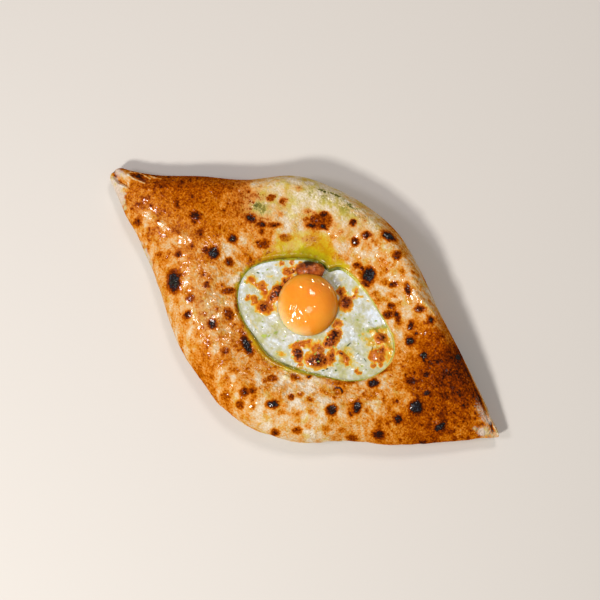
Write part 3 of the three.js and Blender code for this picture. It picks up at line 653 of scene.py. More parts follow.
def toasting_group():
    """Turns browning into the colour of baked dough or cheese: floury, cream, golden, brown, black."""
    tree = bpy.data.node_groups.new("toasting", "ShaderNodeTree")
    tree.interface.new_socket("Browning", in_out="INPUT", socket_type="NodeSocketFloat")
    tree.interface.new_socket("Color", in_out="OUTPUT", socket_type="NodeSocketColor")
    browning = add(tree, "NodeGroupInput").outputs["Browning"]
    stops = [
        (0.00, (232, 222, 206)), (0.18, (214, 196, 168)), (0.30, (208, 174, 128)),
        (0.42, (209, 148, 74)), (0.54, (196, 112, 14)), (0.65, (156, 72, 0)),
        (0.75, (116, 44, 2)), (0.85, (70, 24, 6)), (0.92, (34, 16, 11)), (1.00, (15, 14, 17)),
    ]
    add(tree, "NodeGroupOutput", {"Color": ramp(tree, browning, stops)})
    return tree


TOASTING = toasting_group()


def toasted(tree, browning):
    """The colour that browning gives."""
    return add(tree, "ShaderNodeGroup", {"Browning": browning}, node_tree=TOASTING).outputs[0]


def new_material(name):
    """An empty material and its shader, joined to its output."""
    material = bpy.data.materials.new(name)
    material.use_nodes = True
    tree = material.node_tree
    tree.nodes.clear()
    shader = add(tree, "ShaderNodeBsdfPrincipled")
    add(tree, "ShaderNodeOutputMaterial", {"Surface": shader.outputs[0]})
    return material, tree, shader


def pebbles(tree, size_mm):
    """Rounded grains of about the given size: how near a point is to the middle of its grain, from
    0 to 1, and a number that differs from grain to grain."""
    place = add(tree, "ShaderNodeTexCoord").outputs["Object"]
    cells = add(tree, "ShaderNodeTexVoronoi", {"Vector": place, "Scale": 1 / (size_mm * MM)}).outputs
    return step_up(tree, cells["Distance"], 0.65, 0.1), cells["Color"]


def sway(tree, share, noise, value):
    """The value, swayed up and down by a noise that is even round a half."""
    return scaled(tree, reckon(tree, "SUBTRACT", noise, 0.5), share, value)


def crust_material():
    """Baked dough: browning broken up by bubbles and grain, stained by herbs and butter, floury at
    the tips, with a pebbly skin that glitters where butter was brushed on."""
    material, tree, shader = new_material("baked_dough")
    mottle, fine = grain(tree, 3, 3), grain(tree, 0.6, 3)
    (large_near, large_draw), (small_near, small_draw) = pebbles(tree, 2.3), pebbles(tree, 1.15)
    browning = read(tree, "browning")
    pale = step_up(tree, browning, 0.62, 0.4)
    browning = sway(tree, scaled(tree, pale, 0.3, 0.12), mottle, browning)
    browning = sway(tree, times(tree, large_near, 0.14), large_draw, browning)
    browning = sway(tree, times(tree, small_near, 0.24), small_draw, browning)
    browning = sway(tree, 0.5, fine, browning)
    shade = toasted(tree, browning)
    burnt = step_up(tree, browning, 0.8, 0.95)
    # Blue-grey on the blackest char: grey cinders and painted sheen.
    ash = times(tree, step_up(tree, browning, 0.93, 1.03), step_up(tree, fine, 0.5, 0.62))
    shade = blend(tree, times(tree, ash, 0.5), shade, colour(78, 80, 90))
    speckled = step_up(tree, sway(tree, 0.65, fine, mottle), 0.27, 0.62)
    herb = times(tree, read(tree, "herb"), speckled, clamp=True)
    herb = times(tree, herb, step_up(tree, browning, 0.66, 0.5))
    stops = [(0.0, (204, 188, 138)), (0.3, (188, 176, 108)), (0.6, (132, 122, 66)), (1.0, (70, 74, 36))]
    shade = blend(tree, step_up(tree, herb, 0, 0.45), shade, ramp(tree, herb, stops))
    flour = step_up(tree, sway(tree, 0.8, fine, read(tree, "flour")), 0.3, 0.62)
    shade = blend(tree, times(tree, flour, 0.9), shade, colour(203, 187, 171))
    thinned = scaled(tree, step_up(tree, browning, 0.52, 0.68), -0.7, 1.0)
    butter = times(tree, read(tree, "butter"), thinned)
    calmed = blend(tree, 0.4, shade, colour(228, 190, 96))
    soaked = blend(tree, step_up(tree, butter, 0, 0.5), shade, calmed)
    stops = [
        (0.00, (255, 255, 255)), (0.05, (246, 244, 186)), (0.25, (234, 234, 92)),
        (0.60, (216, 220, 20)), (0.85, (178, 184, 10)), (1.00, (112, 122, 4)),
    ]
    shade = blend(tree, 1.0, soaked, ramp(tree, sway(tree, 0.35, mottle, butter), stops), "MULTIPLY")
    shine, glint_draw = read(tree, "shine"), pebbles(tree, 0.62)[1]
    picked = step_up(tree, scaled(tree, shine, 0.4, glint_draw), 0.77, 0.93)
    dulled = scaled(tree, step_up(tree, browning, 0.6, 0.75), -0.6, 1.0)
    coat = times(tree, times(tree, shine, picked), dulled)
    charred = times(tree, burnt, scaled(tree, shine, 0.5, 0.05))
    coat = reckon(tree, "MAXIMUM", coat, charred)
    coat = reckon(tree, "MAXIMUM", coat, times(tree, butter, 0.35))
    height = scaled(tree, small_near, 0.42, times(tree, large_near, 0.4))
    height = times(tree, height, scaled(tree, shine, -0.45, 1.0))
    rugged = scaled(tree, burnt, 1.2, scaled(tree, shine, 0.15, 0.75))
    height = scaled(tree, times(tree, fine, rugged), 0.9, height)
    height = scaled(tree, mottle, 0.6, height)
    calm = scaled(tree, step_up(tree, butter, 0, 0.3), -0.7, 1.0)
    height = times(tree, height, calm)
    feed(tree, shader, {
        "Base Color": shade, "Roughness": scaled(tree, shine, -0.2, 0.7), "Coat Weight": coat,
        "Coat Roughness": 0.13, "Coat IOR": 1.9, "Specular IOR Level": 0.0,
        "Normal": bumped(tree, height, 1.0, 0.6),
    })
    return material


show("baked_crust", make_crust(), crust_material(), "crust")

# ---------------------------------------------------------------- the cheese filling
# Melted pickled cheese beaten with herbs, level in the eye, with the egg's white set into it.
# Its high spots have browned, and melted butter stands in amber rings round them.

FILLING_LEVEL = 19.6
YOLK_X, YOLK_Y, YOLK_RADIUS, YOLK_RISE, YOLK_SINK, YOLK_LEVEL = 4.7, 4, 19, 13.5, 4, 20.6
FOLD_X, FOLD_Y, FOLD_SLOPE, FOLD_WIDTH, FOLD_RISE = 50, 13, 0.28, 1.8, 1.1
FOLD_START, FOLD_FULL = 36, 48
FOLD_SINK, FOLD_SINK_WIDTH = 0.9, 1.1
CLEARANCE = 0.35  # air between the cheese and the crust
WALL_CLIMB, WALL_CLIMB_WIDTH = 0.5, 0.9  # how the cheese climbs at the wall
FILLING_SWELL, FILLING_STEP_X, FILLING_STEP_Y = 0.5, 11, 9
# Unevenness of the cheese's skin: height, size of the lumps, seed and octaves.
CHEESE_SKIN = [(0.35, 5.5, 131, 3), (0.07, 1.7, 141, 2)]
BROWNED_RISE = 0.16
WHITE_CLIMB, WHITE_OUT, WHITE_WIDTH = 0.7, 0.6, 1.6  # the set white round the yolk
DENT_BELOW, DENT_FLAT, DENT_EDGE = 1.2, 14, 18.2  # the dent that the yolk lies in
CHEESE_KNOBS = [
    (-16.5, -12.6, 6.5, 1.6), (-23.3, -12.4, 4, 0.9), (-16, 0.5, 5.5, 1.4), (28.3, -4.1, 6.5, 2),
    (28, -20.4, 8, 2.2), (15.9, -23.7, 5.5, 1.7), (38.5, -9, 5, 1.2), (23, 17.6, 6, 1.8),
    (57.8, 3.6, 6.5, 1.6), (53.2, 12.8, 4, 1.2),
]
# Browned spots inside a rim of amber butter: place, half width, stretch, turn of the long way,
# browning, and width of the rim.
BROWNED = [
    (-16.5, -12.5, 2.6, 1.2, 20, 0.8, 2), (-13, -11, 1.5, 1, 0, 0.55, 0.8),
    (-24, -12, 1.2, 1.5, -55, 0.64, 0.9), (-28, -13.5, 0.8, 1.15, -55, 0.52, 0.6),
    (-15.5, -0.5, 2.6, 2.35, 85, 0.8, 1.1), (-14.5, 8.5, 1.8, 1.15, 75, 0.74, 1),
    (-17, 14.5, 1.5, 1.4, 35, 0.7, 1.1), (-15, 16.5, 0.8, 1, 0, 0.82, 0.6),
    (-12.5, 20.5, 1.2, 2, -65, 0.72, 0.6), (-23.5, 16.5, 0.7, 1, 0, 0.52, 0.6),
    (-18.5, 20.5, 0.7, 1, 0, 0.54, 0.6), (-25.5, -1.5, 0.9, 1.65, 25, 0.72, 1),
    (17, -24.5, 2.4, 1.5, -45, 0.82, 1.1), (15, -18, 1.1, 3.45, 50, 0.56, 0.8),
    (22, -29, 0.7, 1, 0, 0.5, 0.6), (29, -21, 3.8, 1.45, 30, 0.8, 1.6),
    (25.5, -15, 2.7, 1.1, 35, 0.6, 0.9), (35, -14, 1.5, 2.2, -65, 0.78, 0.8),
    (29, -4.5, 3, 1.9, 85, 0.82, 0.9), (23, 18, 3, 1.2, -55, 0.8, 1.5),
    (17, 22.5, 1.5, 1.2, -55, 0.74, 1), (26.5, 4.5, 1.2, 1.5, 45, 0.66, 0.9),
    (38.5, -9, 0.9, 1.5, 25, 0.82, 0.9), (43, -10.5, 1.2, 1.75, -35, 0.6, 0.9),
    (53.5, 12.5, 2.3, 1.35, 35, 0.76, 1.1), (58, 6.5, 1.8, 1, 0, 0.68, 1),
    (56, 1, 1.8, 1.5, -55, 0.6, 1), (60, 1.5, 1.5, 1.4, 35, 0.62, 1), (59, -4, 0.7, 1, 0, 0.52, 0.5),
    (62, -1, 0.7, 1, 0, 0.52, 0.5), (52.5, -12.5, 0.6, 1, 0, 0.45, 0.5),
    (54.5, -13, 0.5, 1, 0, 0.45, 0.4),
]
# Amber and brown butter that stands or smears on the cheese: place, half width, stretch, turn, depth.
AMBER = [
    (-32.5, -3, 3, 1.2, 15, 0.5), (-33.5, -2, 1.2, 1.25, 35, 0.5), (-24.5, 5.5, 1.2, 2, 35, 0.22),
    (-23.5, -2, 1.8, 1.35, -55, 0.5), (-20.5, -7, 1.8, 1.5, -55, 0.45),
    (-12.5, -10, 2.7, 1.2, -55, 0.5), (9, -30, 1.8, 1.5, 15, 0.5), (24.5, -14, 3.7, 1.15, 35, 0.55),
    (32.5, -23, 1.5, 3.2, 35, 0.35), (42, -9, 3.7, 1.35, -55, 0.42), (41, -13, 1.8, 1, 0, 0.3),
    (18, 21.5, 2.4, 1.1, -55, 0.6), (24, 28, 1.5, 1, 0, 0.75), (25, 24, 1.8, 1.35, 55, 0.7),
    (28.5, 27, 0.9, 2, 15, 0.3), (27, 17, 1.2, 2.25, -55, 0.6), (25, 10.5, 1.2, 1.25, 35, 0.35),
    (24.5, 6, 1.2, 1.75, 55, 0.6), (34, 27, 1.2, 1.25, 35, 0.2), (55, 8, 7.9, 1.45, -55, 0.26),
    (49, 15.5, 1.5, 4.4, 40, 0.3), (46.5, 6.5, 2.7, 1.1, 35, 0.15), (62, 8, 2.4, 2.5, -55, 0.28),
    (-24.5, 15, 1.2, 2.25, 35, 0.25), (12, 28.5, 1.8, 1.5, 35, 0.14),
    (50.5, -10.5, 2.4, 2.25, 25, 0.16), (23.5, -31, 1.1, 6.85, 25, 0.3),
    (-14.5, -25, 1.2, 7, -20, 0.16), (37, -18.5, 1.2, 1.5, 35, 0.4), (18.5, -16.5, 2.1, 1.15, 35, 0.4),
    (-33.5, 5, 0.9, 4.65, 55, 0.14), (-14, 12.5, 1.5, 1.2, 35, 0.6), (-14.5, 18, 3, 1.6, 20, 0.5),
    (-27, -3.6, 1.6, 2.2, 10, 0.5), (-21.5, -4.5, 1.6, 1.8, 0, 0.55), (-18, 5, 1.4, 2.2, 60, 0.4),
]
# Green of the chopped herbs where it has run into the cheese: place, half width, stretch, turn, depth.
GREEN_SMEARS = [
    (-6, -27.5, 1.8, 1.05, 0, 0.5), (-4, -25.5, 0.9, 1.35, 35, 0.6), (-1.5, -22, 1.2, 1.75, 90, 0.8),
    (-12, -20.5, 0.9, 1, 0, 0.3), (49, 17, 1.1, 5.7, 40, 0.75), (51.5, 19.5, 0.9, 2.65, 35, 0.6),
    (15, 30, 1.2, 1, 0, 0.35), (7.5, 28.5, 1.2, 1, 0, 0.35), (44, 19.5, 0.9, 1, 0, 0.4),
    (35, 14, 0.6, 2.5, 50, 0.45), (41, 11, 0.9, 1, 0, 0.45), (44.5, 11.5, 0.9, 1, 0, 0.4),
    (49, 9.5, 1.2, 1.75, 35, 0.35), (38.5, -4, 0.9, 2.65, 75, 0.6), (41.5, -20, 0.9, 1.35, 35, 0.6),
    (41, -13, 1.8, 1, 0, 0.5), (31.5, -24, 1.2, 3.5, 35, 0.35), (-14.5, 28, 0.9, 4.65, 35, 0.5),
    (-30, 4.5, 0.8, 3.2, 35, 0.4), (23, -30.5, 0.9, 10, 25, 0.35), (39.5, 3.5, 0.9, 1.35, 35, 0.3),
    (43.5, 17, 1.2, 1.5, 35, 0.3), (53.5, -4.5, 1.5, 1.6, 15, 0.2), (1, -17.5, 0.9, 2, 35, 0.15),
    (31.5, 26, 0.8, 1.6, 35, 0.35),
]
FOLD_SHADE = [(43.5, 12.6), (48, 16.5), (53.2, 22.6)]
TINTED_X, TINTED_Y, TINTED_REACH = 42, 0, 20  # where the herbs have tinted the cheese most
# How green the cheese is at the eye's edge in each direction: degrees and share.
EDGE_GREEN = [(-180, 0.4), (-40, 0.4), (-15, 0.05), (75, 0.1), (100, 0.4), (180, 0.4)]
# Drops of whey and butter on the cheese: place, radius and height.
WET_BEADS = [
    (-24.5, -19.5, 1.3, 0.5), (-22, -23, 1.5, 0.6), (-20, -26.5, 1.2, 0.5), (-22.5, 20.5, 1.2, 0.5),
    (33, -14.5, 2.2, 0.9), (57, -4, 1.3, 0.5), (61.5, -2, 1.4, 0.6), (56, -9.5, 1.5, 0.6), (63, 4, 1.2, 0.5),
    (63.5, 8.5, 1.1, 0.4), (27.5, -9, 1.0, 0.4), (23, -10, 1.1, 0.5), (-29, -18, 1.0, 0.4),
    (12, -22, 1.1, 0.4),
]


def all_round(count):
    """Even angles round a circle, in radians."""
    return 2 * np.pi * np.arange(count) / count


def bearing_of(angle):
    """An angle in radians as degrees from -180 to 180."""
    return np.degrees(np.angle(np.exp(1j * angle)))


def filling_top(x, y):
    """Height of the cheese: nearly level, with curds, browned knobs, a fold towards the sharp tip,
    a dent under the yolk, and set white that climbs a little round it."""
    swell = FILLING_SWELL * np.sin(x / FILLING_STEP_X + 0.5) * np.sin(y / FILLING_STEP_Y + 1.1)
    height = FILLING_LEVEL + swell
    fold = bell(y - FOLD_Y + FOLD_SLOPE * (x - FOLD_X), FOLD_WIDTH) * smooth(FOLD_START, FOLD_FULL, x)
    height = height + FOLD_RISE * fold + domes(x, y, CHEESE_KNOBS)
    for high, size, *draw in CHEESE_SKIN:
        height = height + high * rough(x, y, size, *draw)
    for spot in BROWNED:
        away = oval_distance(x + 0.5 * lumps(x, y, 2.5, 151), y, spot)
        crust = 1 + 0.5 * rough(x, y, 1.5, 161, 2)
        height = height + BROWNED_RISE * spot[2] * np.exp(-(away**4)) * crust
    height = height + domes(x, y, WET_BEADS)
    height = height - FOLD_SINK * bell(path_distance(x, y, FOLD_SHADE), FOLD_SINK_WIDTH)
    from_yolk = np.hypot(x - YOLK_X, y - YOLK_Y)
    height = height + WHITE_CLIMB * bell(from_yolk - YOLK_RADIUS - WHITE_OUT, WHITE_WIDTH)
    dent = YOLK_LEVEL - YOLK_SINK - DENT_BELOW
    return height + (dent - height) * (1 - smooth(DENT_FLAT, DENT_EDGE, from_yolk))


def wall_climb(from_wall):
    """How much the cheese climbs near the wall of the well."""
    return WALL_CLIMB * bell(from_wall - CLEARANCE, WALL_CLIMB_WIDTH)


def make_filling():
    """The cheese on rays from the middle of the eye: a flat floor, a drafted wall, and its top."""
    around, rows = 560, 160
    angle = all_round(around)
    eye = eye_radius(angle)
    wall = np.stack([eye - WELL_DRAFT - 2.6, eye - 0.6 * WELL_DRAFT - 0.8, eye - 0.7, eye - CLEARANCE])
    inner = (eye - CLEARANCE) * np.linspace(0.996, 0.012, rows)[:, None]
    distance = np.vstack([wall, inner])
    x, y = out_from_eye(distance, angle)
    top = filling_top(x, y)
    from_wall = eye - distance
    z = top + wall_climb(from_wall)
    z[0], z[1] = WELL_FLOOR + CLEARANCE, WELL_FLOOR + 3.4
    z[2], z[3] = top[2] - 2, top[3] - 0.3

    bent_x = x + 0.9 * rough(x, y, 3.2, 171, 3)
    bent_y = y + 0.9 * rough(x, y, 3.2, 181, 3)
    browning, amber = np.zeros_like(x), np.zeros_like(x)
    for smear in AMBER:
        amber = amber + 1.3 * smear[5] * bell(oval_distance(bent_x, bent_y, smear), 1.1)
    for spot in BROWNED:
        half, level, rim = spot[2], spot[5], spot[6]
        past = half * (oval_distance(bent_x, bent_y, spot) - 1)
        core = level * (1 - smooth(-0.2, 0.7, past)) - 0.12 * smooth(-0.7 * half, 0.1, past)
        browning = np.maximum(browning, core)
        amber = np.maximum(amber, 0.95 * (1 - smooth(0.1 * rim, 1.7 * rim + 0.6, past)))
    green = sum(smear[5] * bell(oval_distance(bent_x, bent_y, smear), 0.95) for smear in GREEN_SMEARS)
    bearing = bearing_of(angle)
    edge_green = np.interp(bearing, *zip(*EDGE_GREEN))
    # Along FOLD_SHADE the green is painted shade in the fold.
    green = green + 0.7 * bell(path_distance(x, y, FOLD_SHADE), 0.9) + edge_green * bell(from_wall, 1.2)
    tinted = bell(np.hypot(x - TINTED_X, y - TINTED_Y), TINTED_REACH) + 0.2
    green = green + 0.36 * tinted * smooth(0.2, 0.7, rough(x, y, 1.8, 185, 3))
    fields = {"browning": browning, "amber": np.clip(amber, 0, 1), "herb": np.clip(green, 0, 1)}
    rings = np.stack([x, y, z], axis=-1)
    peak = [EYE_X, EYE_Y, float(z[-1].mean())]
    return skin_mesh("herbed_cheese", rings, [EYE_X, EYE_Y, WELL_FLOOR + CLEARANCE], peak, fields)


def cheese_material():
    """Moist melted cheese: off-white and a little granular, green where herbs ran, yellow to amber
    where butter stands, browned on its knobs."""
    material, tree, shader = new_material("melted_cheese")
    broad, coarse, fine = grain(tree, 4, 3), grain(tree, 1.1, 3), grain(tree, 0.6, 2)
    stops = [
        (0.30, (178, 177, 126)), (0.42, (187, 187, 157)), (0.55, (197, 200, 191)), (0.70, (217, 226, 235)),
    ]
    shade = ramp(tree, sway(tree, 0.6, coarse, broad), stops)
    amber = sway(tree, 1.0, coarse, read(tree, "amber"))
    amber = times(tree, amber, step_up(tree, read(tree, "amber"), 0.02, 0.15))
    stops = [(0.1, (208, 198, 122)), (0.35, (204, 168, 52)), (0.6, (212, 132, 16)), (1.0, (170, 76, 2))]
    shade = blend(tree, step_up(tree, amber, 0.05, 0.35), shade, ramp(tree, amber, stops))
    herb = times(tree, read(tree, "herb"), step_up(tree, coarse, 0.3, 0.62), clamp=True)
    shade = blend(tree, herb, shade, colour(138, 144, 52))
    browning = sway(tree, 0.8, coarse, sway(tree, 0.7, fine, read(tree, "browning")))
    shade = blend(tree, step_up(tree, browning, 0.36, 0.6), shade, toasted(tree, browning))
    dry = scaled(tree, step_up(tree, browning, 0.4, 0.8), -0.7, 1.0)
    wet = times(tree, step_up(tree, broad, 0.35, 0.65), dry)
    height = scaled(tree, broad, 2.5, scaled(tree, fine, 0.6, coarse))
    feed(tree, shader, {
        "Base Color": shade, "Roughness": scaled(tree, coarse, 0.3, 0.3), "Coat Weight": wet,
        "Coat Roughness": 0.1, "Specular IOR Level": 0.08, "Subsurface Weight": 0.12,
        "Subsurface Scale": 1.0, "Subsurface Radius": (0.0016, 0.0012, 0.0008),
        "Normal": bumped(tree, height, 0.8, 0.3),
    })
    return material


show("herbed_cheese", make_filling(), cheese_material(), "cheese_filling")

# ---------------------------------------------------------------- the egg yolk
# One yolk set on the hot cheese at the end of baking: a soft dome in its own thin skin, which has
# wrinkled a little where it began to set and carries a few drops of butter.

YOLK_HEM = [(2, 0.024, 1.93), (3, 0.008, -1.57)]
# Faint folds of the yolk's skin: height, size, seed and octaves.
YOLK_SKIN = [(0.08, 6, 191, 2), (0.02, 1.6, 194, 2)]
YOLK_BULGE = 0.9  # 1 is an even dome, and less is fuller at the waist
# Small folds and drops on the skin, each a flat facet that rises away from the near side:
# offset from the middle, half length, half width, turn of the long way.
YOLK_FOLDS = [
    (-8.5, 4.7, 1.1, 0.5, 30), (-4.8, 12.5, 1.7, 0.4, -15), (1.1, 14.2, 1.2, 0.3, 5),
    (5.5, 15.1, 0.9, 0.3, -10), (7.5, 13.8, 0.6, 0.3, 0), (-0.5, 6.8, 1.0, 0.3, -10),
    (2.5, 9.5, 1.0, 0.3, -10), (5.6, -0.3, 0.4, 0.4, 0), (2.2, -5.1, 0.5, 0.42, 0),
    (5.5, -6.5, 0.5, 0.45, 0), (0.6, -8.1, 1.7, 0.55, -18), (-2.4, -10.6, 1.2, 0.65, 20),
    (-2.2, -12.4, 1.4, 0.75, -15), (-1.6, -14.6, 1.3, 0.75, -20), (-2.8, -16.6, 1.0, 0.6, 40),
    (6.1, -10.9, 0.9, 0.4, 60), (-4.8, -12.6, 0.5, 0.4, 0), (-4.6, -14.6, 0.6, 0.4, 30),
]
FOLD_SLANT, FOLD_STAND = 0.476, 0.12
WRINKLES_X, WRINKLES_Y, WRINKLES_REACH, WRINKLES_DEPTH, WRINKLE_LENGTH = -3.5, -12.5, 5, 0.1, 2.2
FILM_COLOUR = (250, 196, 134)


def yolk_height(off_x, off_y):
    """Height of the smooth dome over a point: the ring's radius turned back into its tilt."""
    share = np.clip(np.hypot(off_x, off_y) / YOLK_RADIUS, 0, 1) ** (1 / YOLK_BULGE)
    return YOLK_LEVEL + YOLK_RISE * np.sqrt(1 - share**2)


def make_yolk():
    """A drop: rings at even tilts from pole to pole, bulging at the waist, higher above it than
    below, with faint folds in its skin, a wrinkled patch, and small flat facets."""
    around, under, over = 400, 40, 190
    low_tilts = -np.pi / 2 * (1 - np.arange(1, under) / under)
    tilt = np.concatenate([low_tilts, np.pi / 2 * np.arange(over) / over])[:, None]
    angle = all_round(around)
    wobble = 1 + sum(share * np.cos(waves * angle + phase) for waves, share, phase in YOLK_HEM)
    radius = YOLK_RADIUS * np.cos(tilt) ** YOLK_BULGE * wobble
    off_x, off_y = radius * np.cos(angle), radius * np.sin(angle)
    depth = np.where(tilt < 0, YOLK_SINK, YOLK_RISE)
    above = smooth(0, 0.3, tilt)
    lift = sum(high * rough(off_x, off_y, size, *draw) for high, size, *draw in YOLK_SKIN)
    patch = bell(np.hypot(off_x - WRINKLES_X, off_y - WRINKLES_Y), WRINKLES_REACH)
    ripple = np.sin(2 * np.pi * (off_x + 0.4 * off_y + rough(off_x, off_y, 4, 197, 2)) / WRINKLE_LENGTH)
    z = YOLK_LEVEL + depth * np.sin(tilt) + (lift + WRINKLES_DEPTH * patch * ripple) * above
    for fold in YOLK_FOLDS:
        at_x, at_y, length, width, turn = fold
        away = oval_distance(off_x, off_y, (at_x, at_y, width, length / width, turn))
        inside = 1 - smooth(0.85, 1.15, away)
        facet = yolk_height(at_x, at_y) + FOLD_STAND + FOLD_SLANT * (off_y - at_y)
        z = z + (facet - z) * inside * above
    # Paler towards the near side, where the lamps fall: a thin skin of set white, and painted light.
    near_side = (-0.4 * off_x - 1.4 * off_y) / (1.5 * YOLK_RADIUS)
    film = smooth(0.32, 0.85, near_side + 0.16 * rough(off_x, off_y, 5, 199))
    fields = {"film": film * smooth(1.0, 0.2, tilt), "rim": (1 - smooth(0.1, 0.65, tilt)) + 0 * angle}
    rings = np.stack([YOLK_X + off_x, YOLK_Y + off_y, z], axis=-1)
    poles = [YOLK_X, YOLK_Y, YOLK_LEVEL - YOLK_SINK], [YOLK_X, YOLK_Y, YOLK_LEVEL + YOLK_RISE]
    return skin_mesh("soft_yolk", rings, *poles, fields)


def yolk_material():
    """Yolk: orange, a little cloudy, paler at its near side under a thin skin of set white and with painted
    light there, deeper orange round its edge as painted shade, in a wet skin.
    """
    material, tree, shader = new_material("yolk")
    shade = ramp(tree, grain(tree, 6, 2), [(0.3, (252, 142, 28)), (0.7, (254, 159, 46))])
    # Deeper orange round the edge is painted shade where the dome turns away.
    shade = blend(tree, times(tree, read(tree, "rim"), 0.7), shade, colour(255, 134, 8))
    shade = blend(tree, times(tree, read(tree, "film"), 0.95), shade, colour(*FILM_COLOUR))
    feed(tree, shader, {
        "Base Color": shade, "Roughness": 0.4, "Specular IOR Level": 0.05,
        "Coat Weight": scaled(tree, read(tree, "rim"), -0.9, 0.9), "Coat Roughness": 0.03,
        "Subsurface Weight": 1.0, "Subsurface Scale": 1.0, "Subsurface Radius": (0.018, 0.008, 0.002),
        "Normal": bumped(tree, grain(tree, 1.2, 3), 0.1, 0.1),
    })
    return material


show("soft_yolk", make_yolk(), yolk_material(), "egg_yolk")

# ---------------------------------------------------------------- the browned curd
# A swollen curd of cheese between the yolk and the lip. Its skin has browned and gone glossy,
# and melted butter wets it.

CURD_X, CURD_Y, CURD_Z = -6.2, 22.5, 21.4
CURD_LENGTH, CURD_WIDTH, CURD_HEIGHT, CURD_TURN = 18.5, 11, 9, 0.62
CURD_SWELLS = [(0.04, 3, 2, 0, 0.6), (0.03, 0, 4, 3, 0)]
CURD_SCORCH = (-10.5, 26.0, 3.6)  # the dark side of its top: place and reach


def make_curd():
    """An uneven egg shape: a ball scaled to the curd's length, width and height, swollen by waves
    along its own directions, and turned to lie along the yolk."""
    around, steps = 160, 90
    tilt = (-np.pi / 2 + np.pi * np.arange(1, steps) / steps)[:, None]
    angle = all_round(around)
    a, b = np.cos(tilt) * np.cos(angle), np.cos(tilt) * np.sin(angle)
    c = np.sin(tilt) + 0 * angle
    lump = 1 + sum(
        share * np.sin(on_a * a + on_b * b + on_c * c + start)
        for share, on_a, on_b, on_c, start in CURD_SWELLS
    )
    lump = lump + 0.05 * rough(10 * a + 3 * c, 10 * b, 4, 201, 4)
    along, across = a * lump * CURD_LENGTH / 2, b * lump * CURD_WIDTH / 2
    x = CURD_X + along * np.cos(CURD_TURN) - across * np.sin(CURD_TURN)
    y = CURD_Y + along * np.sin(CURD_TURN) + across * np.cos(CURD_TURN)
    z = CURD_Z + c * lump * CURD_HEIGHT / 2
    at_x, at_y, reach = CURD_SCORCH
    scorch = bell(np.hypot(x - at_x, y - at_y), reach) + 0.25 * rough(x, y, 2.5, 205, 2)
    rings = np.stack([x, y, z], axis=-1)
    low, high = [CURD_X, CURD_Y, float(z[0].mean())], [CURD_X, CURD_Y, float(z[-1].mean())]
    return skin_mesh("glossy_curd", rings, low, high, {"scorch": np.clip(scorch, 0, 1)})


def curd_material():
    """Browned cheese skin: mauve-brown, nearly black where it charred and, on its far side, with painted
    shade, wet.
    """
    material, tree, shader = new_material("browned_cheese_skin")
    coarse = grain(tree, 1.6, 3)
    shade = ramp(tree, coarse, [(0.30, (104, 40, 2)), (0.50, (154, 70, 12)), (0.70, (206, 118, 50))])
    # Nearly black where the skin charred, deepened on its far side as painted shade.
    dark = sway(tree, 1.2, coarse, read(tree, "scorch"))
    shade = blend(tree, step_up(tree, dark, 0.15, 0.6), shade, colour(46, 16, 8))
    feed(tree, shader, {
        "Base Color": shade, "Roughness": 0.4, "Specular IOR Level": 0.1, "Coat Weight": 0.5,
        "Coat Roughness": 0.12, "Normal": bumped(tree, coarse, 1.0, 0.8),
    })
    return material


show("glossy_curd", make_curd(), curd_material(), "browned_curd")

# ---------------------------------------------------------------- the herb butter
# Melted butter, green from the herbs, that has run to the edge of the cheese. It stands as a
# thin bead in the seam between cheese and crust, widest along the near side.

# The bead in each direction: degrees, width inside and outside the eye's edge in millimetres, and
# its colour, from 0, dark green, to 1, pale yellow. The dark stretch from 98 to 110 degrees, beside
# the curd, is painted shadow.
BEAD = [
    (-180, 0.45, 0.25, 0.4), (-140, 0.4, 0.35, 0.5), (-110, 0.5, 0.6, 0.5), (-80, 0.55, 0.65, 0.5),
    (-50, 0.6, 0.5, 0.5), (-30, 0.4, 0.3, 0.65), (0, 0.35, 0.3, 0.9), (40, 0.4, 0.3, 1.0),
    (70, 0.6, 0.4, 0.95), (88, 0.7, 0.6, 0.7), (98, 0.9, 0.9, 0.15), (110, 0.9, 0.8, 0.2),
    (125, 0.7, 0.6, 0.55), (150, 0.5, 0.3, 0.45), (180, 0.45, 0.25, 0.4),
]
BEAD_SWAY, BEAD_FOOT, BEAD_SWELL, BEAD_DEPTH = 0.35, 0.1, 0.3, 0.7


def make_butter_bead():
    """A bead that runs round the eye: its section is a loop of points, over the seam from the
    cheese up to the lip and back below, and its width swells where butter has gathered."""
    around, half = 600, 9
    angle = all_round(around)
    bearing = bearing_of(angle)
    eye = eye_radius(angle)
    uneven = 1 + BEAD_SWAY * rough(eye * np.cos(angle), eye * np.sin(angle), 6, 211)
    directions, *widths, tones = zip(*BEAD)
    inner, outer = (np.interp(bearing, directions, width) * uneven for width in widths)
    share = np.linspace(0, 1, half)[:, None]
    over = eye - inner + (inner + outer) * share
    lip = LIP_HEIGHT - LIP_ROUND * (1 - quarter_round(np.maximum(over - eye, 0), LIP_ROUND))
    x, y = out_from_eye(over, angle)
    cheese = filling_top(x, y) + wall_climb(eye - over)
    rest = np.where(over > eye, lip, cheese)
    top = rest + BEAD_FOOT + BEAD_SWELL * np.sin(np.pi * share)
    low = rest - BEAD_DEPTH
    rings = np.concatenate([np.stack([x, y, top], -1), np.stack([x, y, low], -1)[::-1]])
    index = np.arange(2 * half * around).reshape(2 * half, around)
    turned, inward = np.roll(index, -1, 1), np.roll(index, -1, 0)
    quads = np.stack([index, inward, np.roll(inward, -1, 1), turned], -1).reshape(-1, 4)
    mesh = bpy.data.meshes.new("butter_bead")
    mesh.from_pydata((rings.reshape(-1, 3) * MM).tolist(), [], quads.tolist())
    set_field(mesh, "tone", np.tile(np.interp(bearing, directions, tones), 2 * half))
    mesh.polygons.foreach_set("use_smooth", np.ones(len(mesh.polygons), bool))
    return mesh


